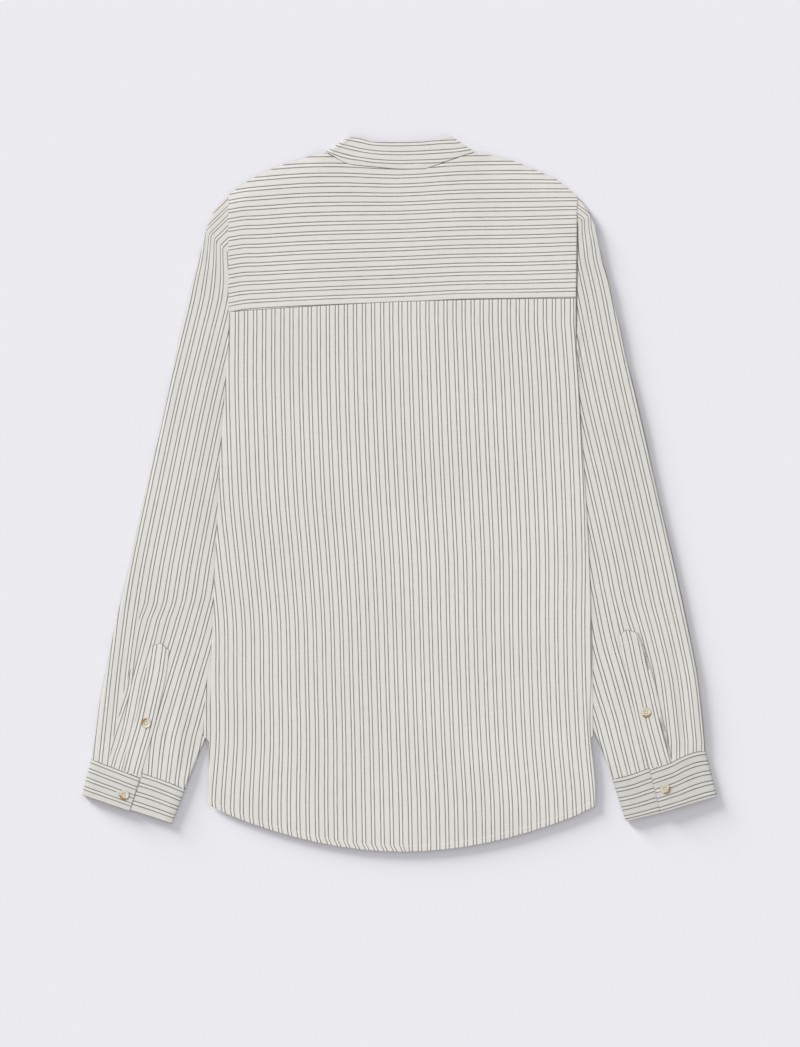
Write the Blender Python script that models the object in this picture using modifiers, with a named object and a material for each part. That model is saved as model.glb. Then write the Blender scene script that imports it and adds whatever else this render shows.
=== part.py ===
"""Mandarin collar shirt, laid flat on its front with its back upwards.

Millimetres in the tables and functions, metres in the finished meshes. +Y points to the collar,
+Z up, and the surface that the shirt lies on is z = 0. The wearer's left is at -X.
From below: buttons of the front, button band, fronts, sleeves pressed beneath the fronts,
back and yoke. The sleeves stand out at both sides, each a flattened tube.
"""
import math
from collections import namedtuple

import bmesh
import bpy
from mathutils import Vector
from mathutils.bvhtree import BVHTree

for old in list(bpy.data.objects):
    bpy.data.objects.remove(old, do_unlink=True)

MM = 0.001
# The tables count from the collar's middle line; the origin is below the middle of the whole shirt
MIDDLE = Vector((-0.95, 0.99, 0.0))

# Walls and gaps
CLOTH = 1.0
BAND = 1.1
CUFF = 1.6
GAP = 0.3
BUTTON_DIAMETER = 11.0
BUTTON_THICK = 1.8

# Undersides of the layers
STRIP_LIFT = BUTTON_THICK + GAP
PRESSED_SLEEVE = 2.7
SLEEVE_LIFT = PRESSED_SLEEVE + GAP
BACK_LEVEL = 4.7
YOKE_LEVEL = 4.9
COLLAR_LEVEL = 5.1
HEM_LEVEL = 2.8
SLEEVE_LOFT = 5.2
ARMHOLE_LOFT = 5.4

# Front closing
STRIP_HALF = 15.0
STRIP_RAMP = 25.0
FRONT_BUTTONS_Y = (255.0, 165.0, 75.0, -15.0, -105.0, -195.0)
FRONT_HEM_SIDE_Y = -270.0
FRONT_HEM_CENTRE_Y = -380.0
FRONT_HEM_ROUND = 0.8
# The overlap comes down to the surface between these, above the front hem
STRIP_DOWN_Y = -370.0
STRIP_UP_Y = -315.0

# Neck and collar
NECK_X = 82.4
NECK_Y = 384.0
FRONT_NECK_Y = 304.0
FOLD_ANGLE = math.radians(34.0)
COLLAR_HEIGHT = 29.0
COLLAR_OVERLAP = 12.0
COLLAR_BULGE = 1.2
NECK_SEAM = 1.2
YOKE_CORNER = 2.0

# Armholes
ARMHOLE_LEFT_X = -192.4
ARMHOLE_RIGHT_X = 198.2
ARMPIT_LEFT_Y = 167.0
ARMPIT_RIGHT_Y = 176.0

# Body edges from the armhole's top to the hem's corner, back and front panels
Edge = namedtuple("Edge", "y back_left back_right front_left front_right")
BODY_EDGES = (
    Edge(340.0, -192.4, 198.2, -192.4, 198.2),
    Edge(262.0, -192.4, 197.2, -192.4, 197.2),
    Edge(205.0, -192.3, 196.7, -192.3, 196.7),
    Edge(167.0, -191.6, 196.9, -191.6, 196.9),
    Edge(145.0, -193.6, 198.8, -193.6, 198.8),
    Edge(124.0, -195.6, 200.1, -195.6, 200.1),
    Edge(77.0, -199.2, 202.3, -199.2, 202.3),
    Edge(27.0, -202.3, 206.0, -202.3, 206.0),
    Edge(-45.0, -205.9, 210.0, -205.9, 210.0),
    Edge(-125.0, -209.2, 213.0, -209.2, 213.4),
    Edge(-163.0, -210.8, 213.8, -211.8, 214.9),
    Edge(-190.0, -211.4, 214.1, -215.6, 215.4),
    Edge(-262.0, -213.7, 211.9, -220.6, 215.6),
    Edge(-320.0, -214.4, 218.0, -221.4, 215.6),
    Edge(-350.0, -215.2, 218.6, -222.0, 215.6),
)
HEM_LEFT_Y = -347.2
HEM_RIGHT_Y = -348.7
HEM_DROP = 52.0
HEM_ROUND = 0.85
HEM_PRESSED = 34.0
SEAM_LEFT_Y = 204.2
SEAM_RIGHT_X = 196.9
SEAM_RIGHT_Y = 219.2
SEAM_BOW = 3.9
SIDE_ROLL = 14.0
SHOULDER_ROLL = 13.0

# Shoulder folds, from the armhole to the neck
Fold = namedtuple("Fold", "x y")
SHOULDER_LEFT = (Fold(-192.4, 334.9), Fold(-189.1, 340.0), Fold(-168.9, 351.4),
                 Fold(-147.6, 362.4), Fold(-116.3, 374.0), Fold(-NECK_X, NECK_Y))
SHOULDER_RIGHT = (Fold(NECK_X, NECK_Y), Fold(126.8, 373.2), Fold(152.5, 362.4),
                  Fold(178.3, 350.7), Fold(194.0, 340.0), Fold(198.2, 333.8))

# Back half of the collar band, from the left fold to the right one
Band = namedtuple("Band", "seam_x seam_y top_x top_y")
COLLAR_BACK = (
    Band(-NECK_X, NECK_Y, -58.4, 400.2),
    Band(-73.9, 378.1, -52.0, 400.2),
    Band(-61.8, 371.1, -43.9, 399.3),
    Band(-51.1, 368.9, -36.7, 396.9),
    Band(-36.7, 367.4, -26.1, 394.9),
    Band(-18.8, 365.7, -13.0, 394.3),
    Band(2.0, 364.0, 3.0, 394.2),
    Band(27.3, 364.6, 26.8, 395.6),
    Band(38.8, 368.1, 36.5, 396.7),
    Band(50.2, 372.4, 44.6, 398.2),
    Band(63.1, 376.8, 50.4, 400.4),
    Band(74.0, 380.6, 53.6, 401.6),
    Band(NECK_X, NECK_Y, 56.0, 402.0),
)

# Sleeve rings from the armhole to the cuff: the outer and the inner edge of the flattened tube
Ring = namedtuple("Ring", "outer_x outer_y inner_x inner_y")
SLEEVE_LEFT = (
    Ring(-192.8, 334.0, -193.6, 168.0),
    Ring(-205.0, 322.5, -197.8, 157.0),
    Ring(-213.7, 306.0, -200.2, 144.0),
    Ring(-219.5, 284.0, -199.4, 130.0),
    Ring(-225.5, 260.0, -190.0, 117.0),
    Ring(-232.4, 237.0, -177.0, 105.0),
    Ring(-238.5, 212.0, -161.5, 93.0),
    Ring(-245.6, 185.0, -144.0, 79.0),
    Ring(-251.8, 152.0, -127.0, 62.0),
    Ring(-259.0, 116.0, -114.5, 41.0),
    Ring(-267.5, 76.0, -109.5, 16.0),
    Ring(-278.5, 30.0, -115.5, -16.0),
    Ring(-290.0, -18.0, -128.5, -56.0),
    Ring(-300.0, -65.0, -142.5, -102.0),
    Ring(-311.0, -110.0, -157.5, -146.0),
    Ring(-321.0, -155.0, -175.0, -189.0),
    Ring(-330.5, -200.0, -197.5, -228.0),
    Ring(-336.5, -232.0, -211.5, -260.0),
    Ring(-340.4, -262.0, -224.3, -288.0),
    Ring(-345.8, -295.6, -240.2, -329.2),
)
SLEEVE_RIGHT = (
    Ring(198.6, 333.0, 198.4, 176.0),
    Ring(209.5, 319.5, 202.0, 164.0),
    Ring(217.2, 303.0, 204.0, 151.0),
    Ring(221.0, 283.0, 203.6, 136.0),
    Ring(226.0, 260.0, 196.0, 122.0),
    Ring(234.0, 237.0, 183.0, 109.0),
    Ring(239.6, 212.0, 167.0, 96.0),
    Ring(246.4, 185.0, 149.0, 81.0),
    Ring(253.4, 150.0, 132.0, 63.0),
    Ring(263.5, 114.0, 119.0, 43.0),
    Ring(272.5, 76.0, 113.5, 17.0),
    Ring(282.0, 30.0, 119.5, -16.0),
    Ring(292.8, -18.0, 132.0, -56.0),
    Ring(304.2, -65.0, 147.0, -102.0),
    Ring(314.5, -110.0, 162.0, -146.0),
    Ring(323.8, -155.0, 178.5, -189.0),
    Ring(332.3, -198.0, 200.5, -228.0),
    Ring(336.3, -230.0, 213.5, -258.0),
    Ring(339.5, -258.0, 225.0, -284.0),
    Ring(341.4, -285.7, 237.3, -317.7),
)
SLEEVE_ACROSS = 12
LIFT_NEAR = 32
LIFT_FAR = 56
LIFT_STEP = 8
BESIDE_EDGE = 8.0
# A sleeve rises to its full loft between these, outwards from the front's edge and down to the cuff
PRESSED_MARGIN = 7.0
LOFT_MARGIN = 26.0
PRESSED_DOWN_TO_Y = -287.0
LOFT_BELOW_Y = -312.0
CUFF_SEAM_BOW = 3.0

# Largest folds of the sleeves: a ridge (lift above 0) or a trough along each line
Crease = namedtuple("Crease", "start_x start_y end_x end_y lift width")
CREASES_LEFT = (
    Crease(-217.0, 296.0, -195.0, 271.0, 0.9, 9.0),
    Crease(-217.6, 288.0, -213.2, 259.0, -0.7, 7.0),
    Crease(-301.0, -185.0, -323.5, -281.0, -1.2, 8.0),
    Crease(-316.0, -170.0, -334.0, -286.0, 0.8, 9.0),
    Crease(-255.6, -209.0, -263.0, -310.0, -1.1, 8.0),
    Crease(-243.0, -205.0, -250.0, -315.0, 0.8, 9.0),
)
CREASES_RIGHT = (
    Crease(216.0, 307.0, 198.8, 276.6, -0.9, 8.0),
    Crease(305.0, -185.0, 319.0, -290.0, -1.2, 8.0),
    Crease(296.0, -170.0, 310.0, -288.0, 0.8, 9.0),
    Crease(328.0, -190.0, 333.0, -284.0, 0.7, 8.0),
)

# Cuffs: corners of the flattened band and where its free edge lies, as a share of its width
Corners = namedtuple("Corners", "top_outer top_inner bottom_outer bottom_inner overlap_top overlap_bottom")
CUFF_LEFT = Corners((-346.0, -296.2), (-240.4, -329.9), (-356.5, -336.3), (-255.4, -368.5), 0.52, 0.53)
CUFF_RIGHT = Corners((341.6, -286.4), (237.3, -318.4), (354.6, -337.8), (252.8, -365.9), 0.59, 0.63)
CUFF_TUCK = 0.2
CUFF_ROWS = 3

# Sleeve plackets: both edges of the strip, from the shoulders of its point to the cuff
Strip = namedtuple("Strip", "outer_x outer_y inner_x inner_y")
PLACKET_LEFT = (
    Strip(-279.4, -170.2, -258.6, -174.2),
    Strip(-284.2, -199.5, -262.6, -203.7),
    Strip(-290.6, -228.4, -269.0, -233.0),
    Strip(-296.1, -252.8, -274.7, -258.0),
    Strip(-304.9, -283.6, -283.8, -289.8),
    Strip(-311.4, -309.0, -291.0, -315.3),
)
PLACKET_RIGHT = (
    Strip(266.4, -155.1, 244.4, -158.8),
    Strip(277.6, -184.4, 250.7, -190.6),
    Strip(287.4, -221.2, 259.5, -228.5),
    Strip(294.2, -253.7, 266.8, -261.0),
    Strip(299.9, -277.8, 273.1, -284.5),
    Strip(303.9, -299.8, 279.1, -306.8),
)
PLACKET_POINT = 6.5

# Buttons that show, by their centres
CUFF_BUTTON_LEFT = (-308.9, -336.0)
CUFF_BUTTON_RIGHT = (296.4, -329.1)
PLACKET_BUTTON_LEFT = (-284.4, -255.9)
PLACKET_BUTTON_RIGHT = (275.0, -243.9)

parts = bpy.data.collections.new("mandarin_collar_shirt")
bpy.context.scene.collection.children.link(parts)


def metres(point):
    return (Vector(point) - MIDDLE) * MM


def ease(start, end, at):
    """0 at start and 1 at end, level at both."""
    share = min(1.0, max(0.0, (at - start) / (end - start)))
    return share * share * (3.0 - 2.0 * share)


def mix(first, second, share):
    return first + (second - first) * share


def follow(rows, key, value, at):
    """A smooth curve through the rows' values, read at a place between two rows' keys."""
    keys = [getattr(row, key) for row in rows]
    values = [getattr(row, value) for row in rows]
    if keys[0] > keys[-1]:
        keys.reverse()
        values.reverse()
    at = min(keys[-1], max(keys[0], at))
    last = len(keys) - 2
    index = min(last, max(i for i in range(len(keys)) if keys[i] <= at))

    def slope(i):
        low, high = max(0, i - 1), min(len(keys) - 1, i + 1)
        return (values[high] - values[low]) / (keys[high] - keys[low])

    span = keys[index + 1] - keys[index]
    share = (at - keys[index]) / span
    bend_in = slope(index) * span
    bend_out = slope(index + 1) * span
    rise = values[index + 1] - values[index]
    return values[index] + share * (bend_in + share * (
        3.0 * rise - 2.0 * bend_in - bend_out + share * (bend_in + bend_out - 2.0 * rise)))


def crease_lift(creases, x, y):
    """Height that the folds add at a place: each is a soft line that fades at its ends."""
    total = 0.0
    for crease in creases:
        along = Vector((crease.end_x - crease.start_x, crease.end_y - crease.start_y))
        offset = Vector((x - crease.start_x, y - crease.start_y))
        share = offset.dot(along) / along.length_squared
        if -0.1 < share < 1.1:
            away = (offset - along * share).length / crease.width
            total += crease.lift * math.exp(-away * away) * ease(-0.1, 0.15, share) * ease(1.1, 0.9, share)
    return total


# Outlines

def yoke_seam_y(x):
    share = (x - ARMHOLE_LEFT_X) / (SEAM_RIGHT_X - ARMHOLE_LEFT_X)
    return mix(SEAM_LEFT_Y, SEAM_RIGHT_Y, share) + SEAM_BOW * math.sin(math.pi * min(1.0, max(0.0, share)))


def armpit_y(x):
    return ARMPIT_LEFT_Y if x < 0 else ARMPIT_RIGHT_Y


def shoulder_y(x):
    if x < 0:
        return follow(SHOULDER_LEFT, "x", "y", x)
    return follow(SHOULDER_RIGHT, "x", "y", x)


def neck_curve():
    """Radius of the front neckline's round part and length of its straight part."""
    depth = NECK_Y - FRONT_NECK_Y
    radius = (NECK_X * math.cos(FOLD_ANGLE) - depth * math.sin(FOLD_ANGLE)) / (1.0 - math.sin(FOLD_ANGLE))
    straight = (NECK_X - radius * math.cos(FOLD_ANGLE)) / math.sin(FOLD_ANGLE)
    return radius, straight


NECK_RADIUS, NECK_STRAIGHT = neck_curve()
NECK_ARC = NECK_RADIUS * (math.pi / 2 - FOLD_ANGLE)


def front_neck_y(x, side):
    """Front neckline of the front on this side; past the centre it runs on straight."""
    x = max(0.0, x * side)
    turn = NECK_RADIUS * math.cos(FOLD_ANGLE)
    if x < turn:
        return FRONT_NECK_Y + NECK_RADIUS - math.sqrt(NECK_RADIUS ** 2 - x * x)
    return NECK_Y - (NECK_X - x) / math.tan(FOLD_ANGLE)


def front_neck_point(run):
    """Place on the right half of the front neckline, run along it from the centre, and its ruling's angle."""
    if run < 0:
        return run, FRONT_NECK_Y, math.pi / 2
    angle = max(FOLD_ANGLE, math.pi / 2 - run / NECK_RADIUS)
    rest = max(0.0, run - NECK_ARC)
    x = NECK_RADIUS * math.cos(angle) + rest * math.sin(FOLD_ANGLE)
    y = FRONT_NECK_Y + NECK_RADIUS * (1.0 - math.sin(angle)) + rest * math.cos(FOLD_ANGLE)
    return x, y, angle


def front_hem_y(x, left, right):
    share = min(1.0, max(0.0, (x - left) / (right - left)))
    return mix(FRONT_HEM_SIDE_Y, FRONT_HEM_CENTRE_Y, math.sin(math.pi * share) ** FRONT_HEM_ROUND)


# Heights of the layers' undersides

def centre_lift(x, y, height):
    """Lift of the overlapping fronts over the buttons, which ends above the hem."""
    return height * ease(STRIP_HALF + STRIP_RAMP, STRIP_HALF, abs(x)) * ease(STRIP_DOWN_Y, STRIP_UP_Y, y)


def closing_z(side, x, y):
    """Underside of a front beside its closing; the right front lies on the left one's button band."""
    lift = centre_lift(x, y, STRIP_LIFT)
    if side > 0:
        lift += (CLOTH + GAP) * ease(STRIP_HALF + STRIP_RAMP, STRIP_HALF + 3.0, abs(x))
    return lift


def back_z(x, y):
    """Underside of the back: level, rolled down to the fronts at its sides, lower along the hem."""
    left = follow(BODY_EDGES, "y", "back_left", y)
    right = follow(BODY_EDGES, "y", "back_right", y)
    inside = min(x - left, right - x)
    rolled = SLEEVE_LIFT + CLOTH + GAP
    edge = mix(rolled, BACK_LEVEL, ease(armpit_y(x) - 30.0, armpit_y(x), y))
    level = mix(edge, BACK_LEVEL, ease(0.0, SIDE_ROLL, inside))
    share = min(1.0, max(0.0, (x - left) / (right - left)))
    hem_y = mix(HEM_LEFT_Y, HEM_RIGHT_Y, share) - HEM_DROP * math.sin(math.pi * share) ** HEM_ROUND
    return mix(HEM_LEVEL, level, ease(0.0, HEM_PRESSED, y - hem_y))


def yoke_z(x, y):
    """Underside of the yoke: level, rolled down along both shoulders."""
    shoulder = ease(NECK_X - 2.0, NECK_X + 10.0, abs(x))
    edge = CLOTH + GAP
    roll = ease(SHOULDER_ROLL, 0.0, shoulder_y(x) - y) * shoulder
    return mix(YOKE_LEVEL, edge, roll)


def sleeve_top(side, x, y):
    """Upper skin of a sleeve: lofted where it shows, pressed flat beneath the body."""
    column = "front_left" if side < 0 else "front_right"
    outside = (x - follow(BODY_EDGES, "y", column, y)) * side
    covered = ease(armpit_y(side) + 4.0, armpit_y(side) - 12.0, y)
    low = mix(ARMHOLE_LOFT, PRESSED_SLEEVE, covered)
    shown = max(ease(PRESSED_MARGIN, LOFT_MARGIN, outside), ease(PRESSED_DOWN_TO_Y, LOFT_BELOW_Y, y))
    creases = CREASES_LEFT if side < 0 else CREASES_RIGHT
    return mix(low, SLEEVE_LOFT + crease_lift(creases, x, y), shown)


# Building

def cloth_material(name, colour, roughness):
    material = bpy.data.materials.new(name)
    material.use_nodes = True
    shader = material.node_tree.nodes["Principled BSDF"]
    shader.inputs["Base Color"].default_value = (*colour, 1.0)
    shader.inputs["Roughness"].default_value = roughness
    shader.inputs["Metallic"].default_value = 0.0
    return material


def shirting(name):
    return cloth_material(name + "_shirting", (0.62, 0.60, 0.57), 0.85)


def add_object(name, mesh_builder, material):
    mesh = bpy.data.meshes.new(name)
    mesh_builder.to_mesh(mesh)
    mesh_builder.free()
    mesh.materials.append(material)
    mesh.shade_smooth()
    thing = bpy.data.objects.new(name, mesh)
    parts.objects.link(thing)
    return thing


def add_wall(thing, wall, offset):
    solid = thing.modifiers.new("wall", "SOLIDIFY")
    solid.thickness = wall * MM
    solid.offset = offset
    solid.use_quality_normals = True
    return thing


def grid(across, along, place):
    """A grid of across by along cells whose corners lie where place(column, row) puts them."""
    builder = bmesh.new()
    bmesh.ops.create_grid(builder, x_segments=across, y_segments=along, size=0.5)
    for vertex in builder.verts:
        column = round((vertex.co.x + 0.5) * across)
        row = round((vertex.co.y + 0.5) * along)
        vertex.co = metres(place(column, row))
    return builder


def sheet(name, across, along, place, wall=CLOTH, offset=1.0):
    """A panel: its underside is the grid and its wall grows upwards."""
    builder = grid(across, along, place)
    builder.normal_update()
    if offset and sum(face.normal.z for face in builder.faces) < 0:
        bmesh.ops.reverse_faces(builder, faces=builder.faces)
    return add_wall(add_object(name, builder, shirting(name)), wall, offset)


def ticks(*stretches):
    """Places along an edge: each stretch is its start, end and number of steps."""
    places = [stretches[0][0]]
    for start, end, steps in stretches:
        places += [mix(start, end, (step + 1) / steps) for step in range(steps)]
    return places


def make_back():
    across, along = 18, 24

    def place(column, row):
        u, v = column / across, row / along
        left_y = mix(HEM_LEFT_Y, SEAM_LEFT_Y, v)
        right_y = mix(HEM_RIGHT_Y, SEAM_RIGHT_Y, v)
        x = mix(follow(BODY_EDGES, "y", "back_left", left_y),
                follow(BODY_EDGES, "y", "back_right", right_y), u)
        hem = -HEM_DROP * math.sin(math.pi * u) ** HEM_ROUND * (1.0 - v) ** 1.5
        seam = (yoke_seam_y(x) - mix(SEAM_LEFT_Y, SEAM_RIGHT_Y, u)) * v ** 4
        y = mix(left_y, right_y, u) + hem + seam
        return x, y, back_z(x, y)

    return sheet("back", across, along, place)


def make_yoke():
    left, right = ARMHOLE_LEFT_X, ARMHOLE_RIGHT_X
    neck = {row.seam_x: row.seam_y - 2.0 * GAP for row in COLLAR_BACK[1:-1]}
    neck[-NECK_X] = neck[NECK_X] = NECK_Y - YOKE_CORNER
    columns = sorted(set(ticks((left, -NECK_X, 5)) + list(neck) + ticks((NECK_X, right, 5))))
    along = 8

    def place(column, row):
        v = row / along
        top_x = columns[column]
        share = (top_x - left) / (right - left)
        x = mix(mix(left, SEAM_RIGHT_X, share), top_x, v)
        top_y = neck[top_x] if top_x in neck else shoulder_y(top_x)
        y = mix(yoke_seam_y(x) + GAP, top_y, v)
        return x, y, yoke_z(x, y)

    return sheet("yoke", len(columns) - 1, along, place)


def surface_of(*things):
    """Search trees of finished objects, for what lies on them."""
    graph = bpy.context.evaluated_depsgraph_get()
    return [BVHTree.FromObject(thing, graph) for thing in things]


def height_over(trees, x, y):
    """Highest point of the given surfaces above a place, in millimetres."""
    above, straight_down = metres((x, y, 50.0)), Vector((0.0, 0.0, -1.0))
    hits = [tree.ray_cast(above, straight_down)[0] for tree in trees]
    return max((hit.z / MM for hit in hits if hit), default=0.0)


def over_sleeve(trees, side, column, x, y):
    """How far a front is lifted by the sleeve beneath it, from 0 to 1, with a slope round the sleeve."""
    most = 0.0
    for radius in range(0, LIFT_FAR, LIFT_STEP):
        share = ease(LIFT_FAR, LIFT_NEAR, radius)
        for turn in range(16 if share > most else 0):
            angle = math.tau * turn / 16
            near_x, near_y = x + radius * math.cos(angle), y + radius * math.sin(angle)
            margin = BESIDE_EDGE if near_y < ARMPIT_LEFT_Y - LIFT_NEAR else 0.0
            within = (follow(BODY_EDGES, "y", column, near_y) - near_x) * side > -margin
            if within and height_over(trees, near_x, near_y) > 0:
                most = max(most, share)
    return most


def make_front(name, columns, sleeve):
    """A front: its columns run across the body, from the armhole to the closing or back."""
    along = 22
    trees = surface_of(sleeve)
    side = -1.0 if columns[0] < -NECK_X else 1.0
    side_column = "front_left" if side < 0 else "front_right"
    armhole, other = (columns[0], columns[-1]) if side < 0 else (columns[-1], columns[0])

    def place(column, row):
        v = row / along
        top_x = columns[column]
        share = (top_x - other) / (armhole - other)
        if abs(top_x) < NECK_X:
            top_y = front_neck_y(top_x, side) - NECK_SEAM
        else:
            top_y = shoulder_y(top_x) - 3.0 * GAP
        side_y = mix(FRONT_HEM_SIDE_Y, shoulder_y(armhole) - 3.0 * GAP, v)
        x = mix(other, follow(BODY_EDGES, "y", side_column, side_y), share)
        hem_left = follow(BODY_EDGES, "y", "front_left", FRONT_HEM_SIDE_Y)
        hem_right = follow(BODY_EDGES, "y", "front_right", FRONT_HEM_SIDE_Y)
        y = mix(front_hem_y(x, hem_left, hem_right), top_y, v)
        lift = SLEEVE_LIFT * over_sleeve(trees, side, side_column, x, y)
        return x, y, max(closing_z(side, x, y), lift)

    return sheet(name, len(columns) - 1, along, place)


def make_front_placket():
    along = 22
    half = STRIP_HALF - GAP

    def place(column, row):
        x = mix(-half, half, column / 2)
        low = FRONT_HEM_CENTRE_Y
        y = mix(low, front_neck_y(x, -1.0) - NECK_SEAM, row / along)
        return x, y, centre_lift(x, y, STRIP_LIFT)

    return sheet("front_placket", 2, along, place)


def collar_sections():
    """Seam point, top point and height of each ruling, from the left end to the right end."""
    sections = []
    runs = ticks((-COLLAR_OVERLAP, 0.0, 2), (0.0, NECK_ARC, 5), (NECK_ARC, NECK_ARC + NECK_STRAIGHT - 2.0, 4))
    front_mid = BAND / 2

    def front_half(side, lift):
        half = []
        for run in runs:
            x, y, angle = front_neck_point(run)
            raised = lift * ease(STRIP_HALF + STRIP_RAMP, STRIP_HALF, abs(x))
            inward = Vector((-math.cos(angle) * side, math.sin(angle)))
            seam = Vector((x * side, y))
            half.append((seam, seam + inward * COLLAR_HEIGHT, raised + front_mid))
        return half

    def fold(row, side):
        seam, top = Vector((row.seam_x, row.seam_y)), Vector((row.top_x, row.top_y))
        inward = Vector((-math.sin(FOLD_ANGLE) * side, -math.cos(FOLD_ANGLE)))
        upper = COLLAR_LEVEL + BAND / 2
        middle, half_rise = (upper + front_mid) / 2, (upper - front_mid) / 2
        turned = []
        for step in range(5):
            angle = math.pi * step / 4
            shift = inward * (COLLAR_BULGE + BAND / 2 - COLLAR_BULGE * math.sin(angle))
            turned.append((seam + shift, top + shift, middle + half_rise * math.cos(angle)))
        return turned

    sections += front_half(-1.0, STRIP_LIFT)
    sections += reversed(fold(COLLAR_BACK[0], -1.0))
    for row in COLLAR_BACK[1:-1]:
        sections.append((Vector((row.seam_x, row.seam_y)), Vector((row.top_x, row.top_y)),
                         COLLAR_LEVEL + BAND / 2))
    sections += fold(COLLAR_BACK[-1], 1.0)
    sections += reversed(front_half(1.0, STRIP_LIFT + BAND + GAP))
    return sections


def make_collar():
    sections = collar_sections()
    up = 3

    def place(column, row):
        seam, top, height = sections[column]
        point = seam.lerp(top, row / up)
        return point.x, point.y, height

    return sheet("collar", len(sections) - 1, up, place, wall=BAND, offset=0.0)


def sleeve_section(side, ring, seam_bow):
    """Lining points round one ring: over the top from the outer edge to the inner, back beneath."""
    outer = Vector((ring.outer_x, ring.outer_y))
    inner = Vector((ring.inner_x, ring.inner_y))
    width = (inner - outer).length
    direction = (inner - outer) / width
    down = Vector((direction.y, -direction.x)) * side * -1.0
    top, bottom = [], []
    for step in range(SLEEVE_ACROSS + 1):
        share = step / SLEEVE_ACROSS
        share = mix(share, 0.5 - 0.5 * math.cos(math.pi * share), 0.75)
        across = mix(CLOTH, width - CLOTH, share)
        point = outer + direction * across + down * seam_bow * math.sin(math.pi * share)
        half = (sleeve_top(side, point.x, point.y) - 2.0 * CLOTH) / 2
        near = min(across, width - across) - CLOTH
        closed = 1.0 - min(1.0, near / (1.5 * half + 0.5))
        opening = half * math.sqrt(1.0 - closed * closed)
        top.append((point.x, point.y, CLOTH + half + opening))
        bottom.append((point.x, point.y, CLOTH + half - opening))
    return top + bottom[-2:0:-1]


def make_sleeve(name, side, rings):
    sections = [sleeve_section(side, ring, CUFF_SEAM_BOW if ring is rings[-1] else 0.0) for ring in rings]
    around = len(sections[0])

    def place(column, row):
        return sections[row][column % around]

    builder = grid(around, len(rings) - 1, place)
    bmesh.ops.remove_doubles(builder, verts=builder.verts, dist=0.001 * MM)
    builder.normal_update()
    middle = SLEEVE_LOFT / 2 * MM
    if sum(face.normal.z * (face.calc_center_median().z - middle) for face in builder.faces) < 0:
        bmesh.ops.reverse_faces(builder, faces=builder.faces)
    return add_wall(add_object(name, builder, shirting(name)), CLOTH, 1.0)


def cuff_wrap(overlap):
    """Round the cuff's section from its free edge: share of the width from the outer edge, and height."""
    half = CUFF / 2
    fold = 0.012
    return (
        (overlap, 6.5), (overlap - 0.1, 6.4), (overlap - 0.22, 6.1), (0.14, 5.6), (0.05, 4.9),
        (fold, 3.9), (fold / 2, 2.7), (fold, 1.6), (0.05, half), (0.25, half), (0.5, half), (0.75, half),
        (0.95, half), (1.0 - fold, 1.5), (1.0 - fold / 2, 2.5), (1.0 - fold, 3.5), (0.95, 4.4),
        (0.82, 4.6), (overlap + 0.1, 4.5), (overlap, 4.3), (overlap - CUFF_TUCK, 4.2),
    )


def make_cuff(name, corners):
    top_outer, top_inner = Vector(corners.top_outer), Vector(corners.top_inner)
    bottom_outer, bottom_inner = Vector(corners.bottom_outer), Vector(corners.bottom_inner)
    wraps = (cuff_wrap(corners.overlap_top), cuff_wrap(corners.overlap_bottom))
    down = (bottom_outer - top_outer).normalized()

    def place(column, row):
        v = row / CUFF_ROWS
        across = mix(wraps[0][column][0], wraps[1][column][0], v)
        top = top_outer.lerp(top_inner, across) + down * CUFF_SEAM_BOW * math.sin(math.pi * across)
        bottom = bottom_outer.lerp(bottom_inner, across)
        point = top.lerp(bottom, v)
        return point.x, point.y, wraps[0][column][1]

    return sheet(name, len(wraps[0]) - 1, CUFF_ROWS, place, wall=CUFF, offset=0.0)


def make_placket(name, rows, sleeve):
    trees = surface_of(sleeve)
    across, along = 4, 10

    def row_at(v):
        place = v * (len(rows) - 1)
        index = min(int(place), len(rows) - 2)
        first, second = rows[index], rows[index + 1]
        outer = Vector(first[:2]).lerp(Vector(second[:2]), place - index)
        inner = Vector(first[2:]).lerp(Vector(second[2:]), place - index)
        return outer, inner

    def place(column, row):
        u = column / across
        outer, inner = row_at(row / along)
        point = outer.lerp(inner, u)
        if row == 0:
            ahead = Vector(rows[0][:2]) - Vector(rows[1][:2])
            point += ahead.normalized() * PLACKET_POINT * (1.0 - abs(2.0 * u - 1.0))
        reach = 4.0
        near = [height_over(trees, point.x + dx, point.y + dy) for dx in (-reach, 0.0, reach)
                for dy in (-reach, 0.0, reach)]
        return point.x, point.y, max(near) + GAP

    return sheet(name, across, along, place)


def make_button(name, x, y, bottom):
    """A turned button with a raised rim and a dished face; its face is upwards."""
    radius, thick = BUTTON_DIAMETER / 2, BUTTON_THICK
    profile = ((0.0, thick * 0.62), (radius * 0.55, thick * 0.66), (radius * 0.78, thick),
               (radius * 0.95, thick * 0.86), (radius, thick * 0.4), (radius * 0.8, 0.0), (0.0, 0.0))
    builder = bmesh.new()
    line = [builder.verts.new(Vector((out, 0.0, up)) * MM) for out, up in profile]
    edges = [builder.edges.new(pair) for pair in zip(line, line[1:])]
    bmesh.ops.spin(builder, geom=line + edges, cent=(0.0, 0.0, 0.0), axis=(0.0, 0.0, 1.0),
                   angle=2.0 * math.pi, steps=14, use_merge=True)
    bmesh.ops.remove_doubles(builder, verts=builder.verts, dist=0.001 * MM)
    bmesh.ops.recalc_face_normals(builder, faces=builder.faces)
    thing = add_object(name, builder, cloth_material(name + "_horn", (0.72, 0.62, 0.45), 0.35))
    thing.location = metres((x, y, bottom))
    return thing


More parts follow.
